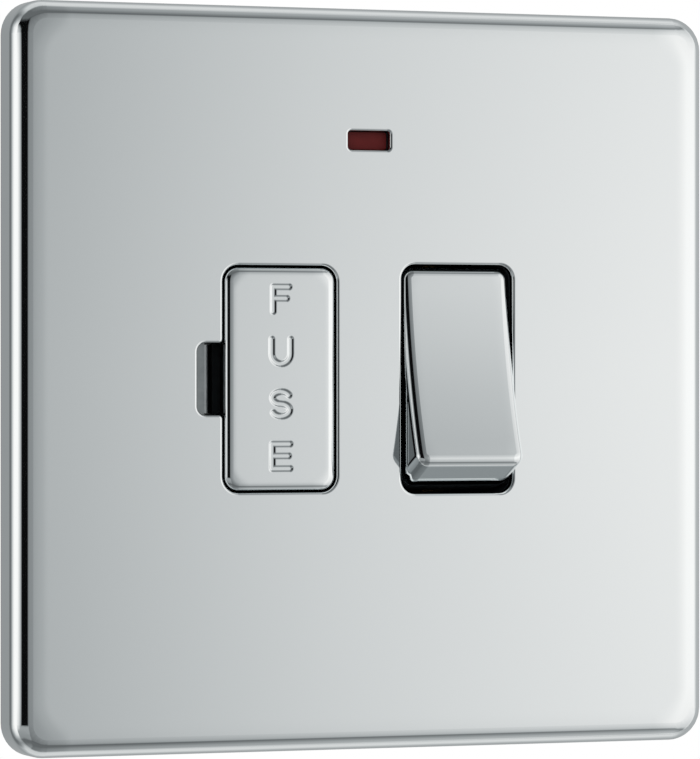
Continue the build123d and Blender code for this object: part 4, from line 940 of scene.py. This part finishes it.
def form_head(mesh, radius, height, slot_width, slot_depth):
    """A slotted cheese head on the origin, its slot along X and facing +Y."""
    outline = {"segments": HEAD_STEPS, "radius": radius, "matrix": FACE_BACK}
    disc = bmesh.ops.create_circle(mesh, cap_ends=True, **outline)["verts"]
    for side in (-1, 1):
        faces = {face for vert in disc for face in vert.link_faces}
        whole = [*faces, *{edge for face in faces for edge in face.edges}, *disc]
        plane = {"plane_co": (0, 0, side * slot_width / 2), "plane_no": (0, 0, side)}
        cut = bmesh.ops.bisect_plane(mesh, geom=whole, dist=CUT_SNAP, **plane)["geom_cut"]
        disc += [part for part in cut if isinstance(part, bmesh.types.BMVert)]
    seat = list({face for vert in disc for face in vert.link_faces})
    raised = bmesh.ops.extrude_face_region(mesh, geom=seat)["geom"]
    tops = [part for part in raised if isinstance(part, bmesh.types.BMFace)]
    top_verts = [part for part in raised if isinstance(part, bmesh.types.BMVert)]
    bmesh.ops.translate(mesh, vec=(0, height - slot_depth, 0), verts=top_verts)
    lands = [face for face in tops if abs(face.calc_center_median().z) > slot_width / 2]
    lands = bmesh.ops.extrude_discrete_faces(mesh, faces=lands)["faces"]
    bmesh.ops.translate(mesh, vec=(0, slot_depth, 0), verts=[vert for face in lands for vert in face.verts])
    edges = [edge for face in lands for edge in face.edges]
    rim = [edge for edge in edges if abs(edge.verts[0].co.z - edge.verts[1].co.z) > TINY]
    bmesh.ops.bevel(mesh, geom=rim, offset=HEAD_ROUND, segments=4, profile=0.5, affect="EDGES", material=-1)


print("head:", HEAD_STEPS, "sides, its rim rounded by", round(HEAD_ROUND / MM, 2), "mm")

# %% [markdown]
# The six terminal screws share one node, and so do the four housing screws. One screw of each kind is made
# at the origin and copied to its columns and its two rows, so that all of a kind are truly alike.

# %% Replace the two sets of screws
SLOT_WIDTH = 0.8 * MM
SLOT_DEPTH = 0.7 * MM
TERMINAL_PITCH = 15 * MM
TERMINAL_ROW_Z = 28.95 * MM
HOUSING_COLUMN = 7.5 * MM
SCREWS = {
    "terminal_screws": {
        "columns": (-TERMINAL_PITCH, 0, TERMINAL_PITCH),
        "shank": 1.7 * MM,
        "head": 2.6 * MM,
        "head_height": 1.8 * MM,
        "thread_cut": 0.33 * MM,
        "pitch": 0.6 * MM,
    },
    "housing_screws": {
        "columns": (-HOUSING_COLUMN, HOUSING_COLUMN),
        "shank": 1.25 * MM,
        "head": 2.0 * MM,
        "head_height": 1.5 * MM,
        "thread_cut": 0.35 * MM,
        "pitch": 1.0 * MM,
    },
}
zinc = plated["passivated_zinc_plate"]
for node, screw in SCREWS.items():
    low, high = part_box(node)
    seat_y = high.y - screw["head_height"]
    screws = bmesh.new()
    roll_thread(screws, screw["shank"], screw["thread_cut"], screw["pitch"], seat_y - low.y)
    form_head(screws, screw["head"], screw["head_height"], SLOT_WIDTH, SLOT_DEPTH)
    bmesh.ops.recalc_face_normals(screws, faces=screws.faces)
    single = [*screws.verts, *screws.edges, *screws.faces]
    single_verts = list(screws.verts)
    for column in screw["columns"]:
        for row in (-TERMINAL_ROW_Z, TERMINAL_ROW_Z):
            copy = bmesh.ops.duplicate(screws, geom=single)["geom"]
            moved = [part for part in copy if isinstance(part, bmesh.types.BMVert)]
            bmesh.ops.translate(screws, vec=(column, seat_y, row), verts=moved)
    bmesh.ops.delete(screws, geom=single_verts, context="VERTS")
    open_edges = sum(not edge.is_manifold for edge in screws.edges)
    rolled_screws = make_piece(f"rolled_{node}", screws, zinc, "base")
    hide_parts(node)
    print(node, "open edges:", open_edges)

# %% [markdown]
# ## Marks for the fitter
#
# A fitter needs to know which terminal is which, so the mould has raised marks beside each one: L, N and
# the earth sign, with the words for the two ends. Lettering starts as a text object with a little
# thickness, and is made a mesh before it is turned to face the back. The earth sign is a stem on three
# bars.

# %% Raise the marks
MARK_RISE = 0.35 * MM
MARK_SUNK = 0.05 * MM
MARK_FACE_Y = 15.28 * MM
MARK_HEIGHT = 3.4 * MM
WORD_HEIGHT = 2.4 * MM
MARK_ROW = 20.2 * MM
WORD_ROW = 15.6 * MM
MARK_CORNER = 0.06 * MM
# millimetres up from the sign's middle, width and height
EARTH_BARS = ((0.55, 0.4, 1.7), (-0.5, 2.6, 0.4), (-1.1, 1.6, 0.4), (-1.7, 0.6, 0.4))
mark_thick = MARK_RISE + MARK_SUNK
mark_level = MARK_FACE_Y + (MARK_RISE - MARK_SUNK) / 2


def raise_text(mesh, words, size, right, up):
    """Adds lettering to a bmesh, made a mesh first and then turned to the back and moved to its place."""
    curve = bpy.data.curves.new(words, "FONT")
    curve.body = words
    curve.size = size
    curve.extrude = mark_thick / 2
    curve.align_x = "CENTER"
    curve.align_y = "CENTER"
    curve.resolution_u = 6
    text = bpy.data.objects.new(words, curve)
    data = bpy.data.meshes.new_from_object(text)
    data.transform(Matrix.Translation((right, mark_level, up)) @ FACE_BACK)
    mesh.from_mesh(data)
    bpy.data.objects.remove(text)
    bpy.data.meshes.remove(data)


marks = bmesh.new()
for end, words in ((1, "SUPPLY"), (-1, "LOAD")):
    raise_text(marks, words, WORD_HEIGHT, 0, end * WORD_ROW)
    for column, letter in ((0, "L"), (TERMINAL_PITCH, "N")):
        raise_text(marks, letter, MARK_HEIGHT, column, end * MARK_ROW)
    for up, width, height in EARTH_BARS:
        bar_place = Matrix.Translation((-TERMINAL_PITCH, mark_level, end * MARK_ROW + up * MM))
        bar_size = Matrix.Diagonal((width * MM, mark_thick, height * MM, 1))
        bar = bmesh.ops.create_cube(marks, size=1.0, matrix=bar_place @ bar_size)["verts"]
        bar_edges = list({edge for vert in bar for edge in vert.link_edges})
        bmesh.ops.bevel(
            marks, geom=bar_edges, offset=MARK_CORNER, segments=2, profile=0.5, affect="EDGES", material=-1
        )
bmesh.ops.remove_doubles(marks, verts=marks.verts, dist=TINY)
bmesh.ops.recalc_face_normals(marks, faces=marks.faces)
print("marks raised:", len(marks.faces), "faces")

# %% [markdown]
# The raised letters are coloured a dusty grey, lighter than the black moulding, which is easier to read
# than black on black. A patchy noise gives the grey its uneven tone and gloss.

# %% Grey letters
LETTERING_PATCH_SIZE = 0.8 * MM
LETTERING_ROUGHNESS = (0.5, 0.65)
grey_lettering, tree, shader, place = new_material("grey_urea_lettering")
lettering_patchy = {"Vector": place, "Scale": 1 / LETTERING_PATCH_SIZE, "Detail": 3.0}
lettering_patches = add(tree, "ShaderNodeTexNoise", lettering_patchy).outputs[0]
lettering_greys = [(0.35, colour("#565B5D")), (0.65, colour("#6E7476"))]
tone = add(tree, "ShaderNodeValToRGB", {0: lettering_patches}, lettering_greys).outputs[0]
sheen = {0: lettering_patches, **NOISE_SPAN, 3: LETTERING_ROUGHNESS[0], 4: LETTERING_ROUGHNESS[1]}
dull = add(tree, "ShaderNodeMapRange", sheen).outputs[0]
set_inputs(shader, {"Base Color": tone, "Roughness": dull})
make_piece("terminal_marks", marks, grey_lettering, "base")

# %% [markdown]
# ## Measure and finish
#
# Both boxes, that of the solids and that of the finished model, are printed. The finished model has to
# stay in the box of the solids.

# %% Finish
boxes = {"cad": cad_box, "visual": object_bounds()}
for name, (low, high) in boxes.items():
    print(name, "box:", [round((above - under) / MM, 2) for under, above in zip(low, high)], "mm")
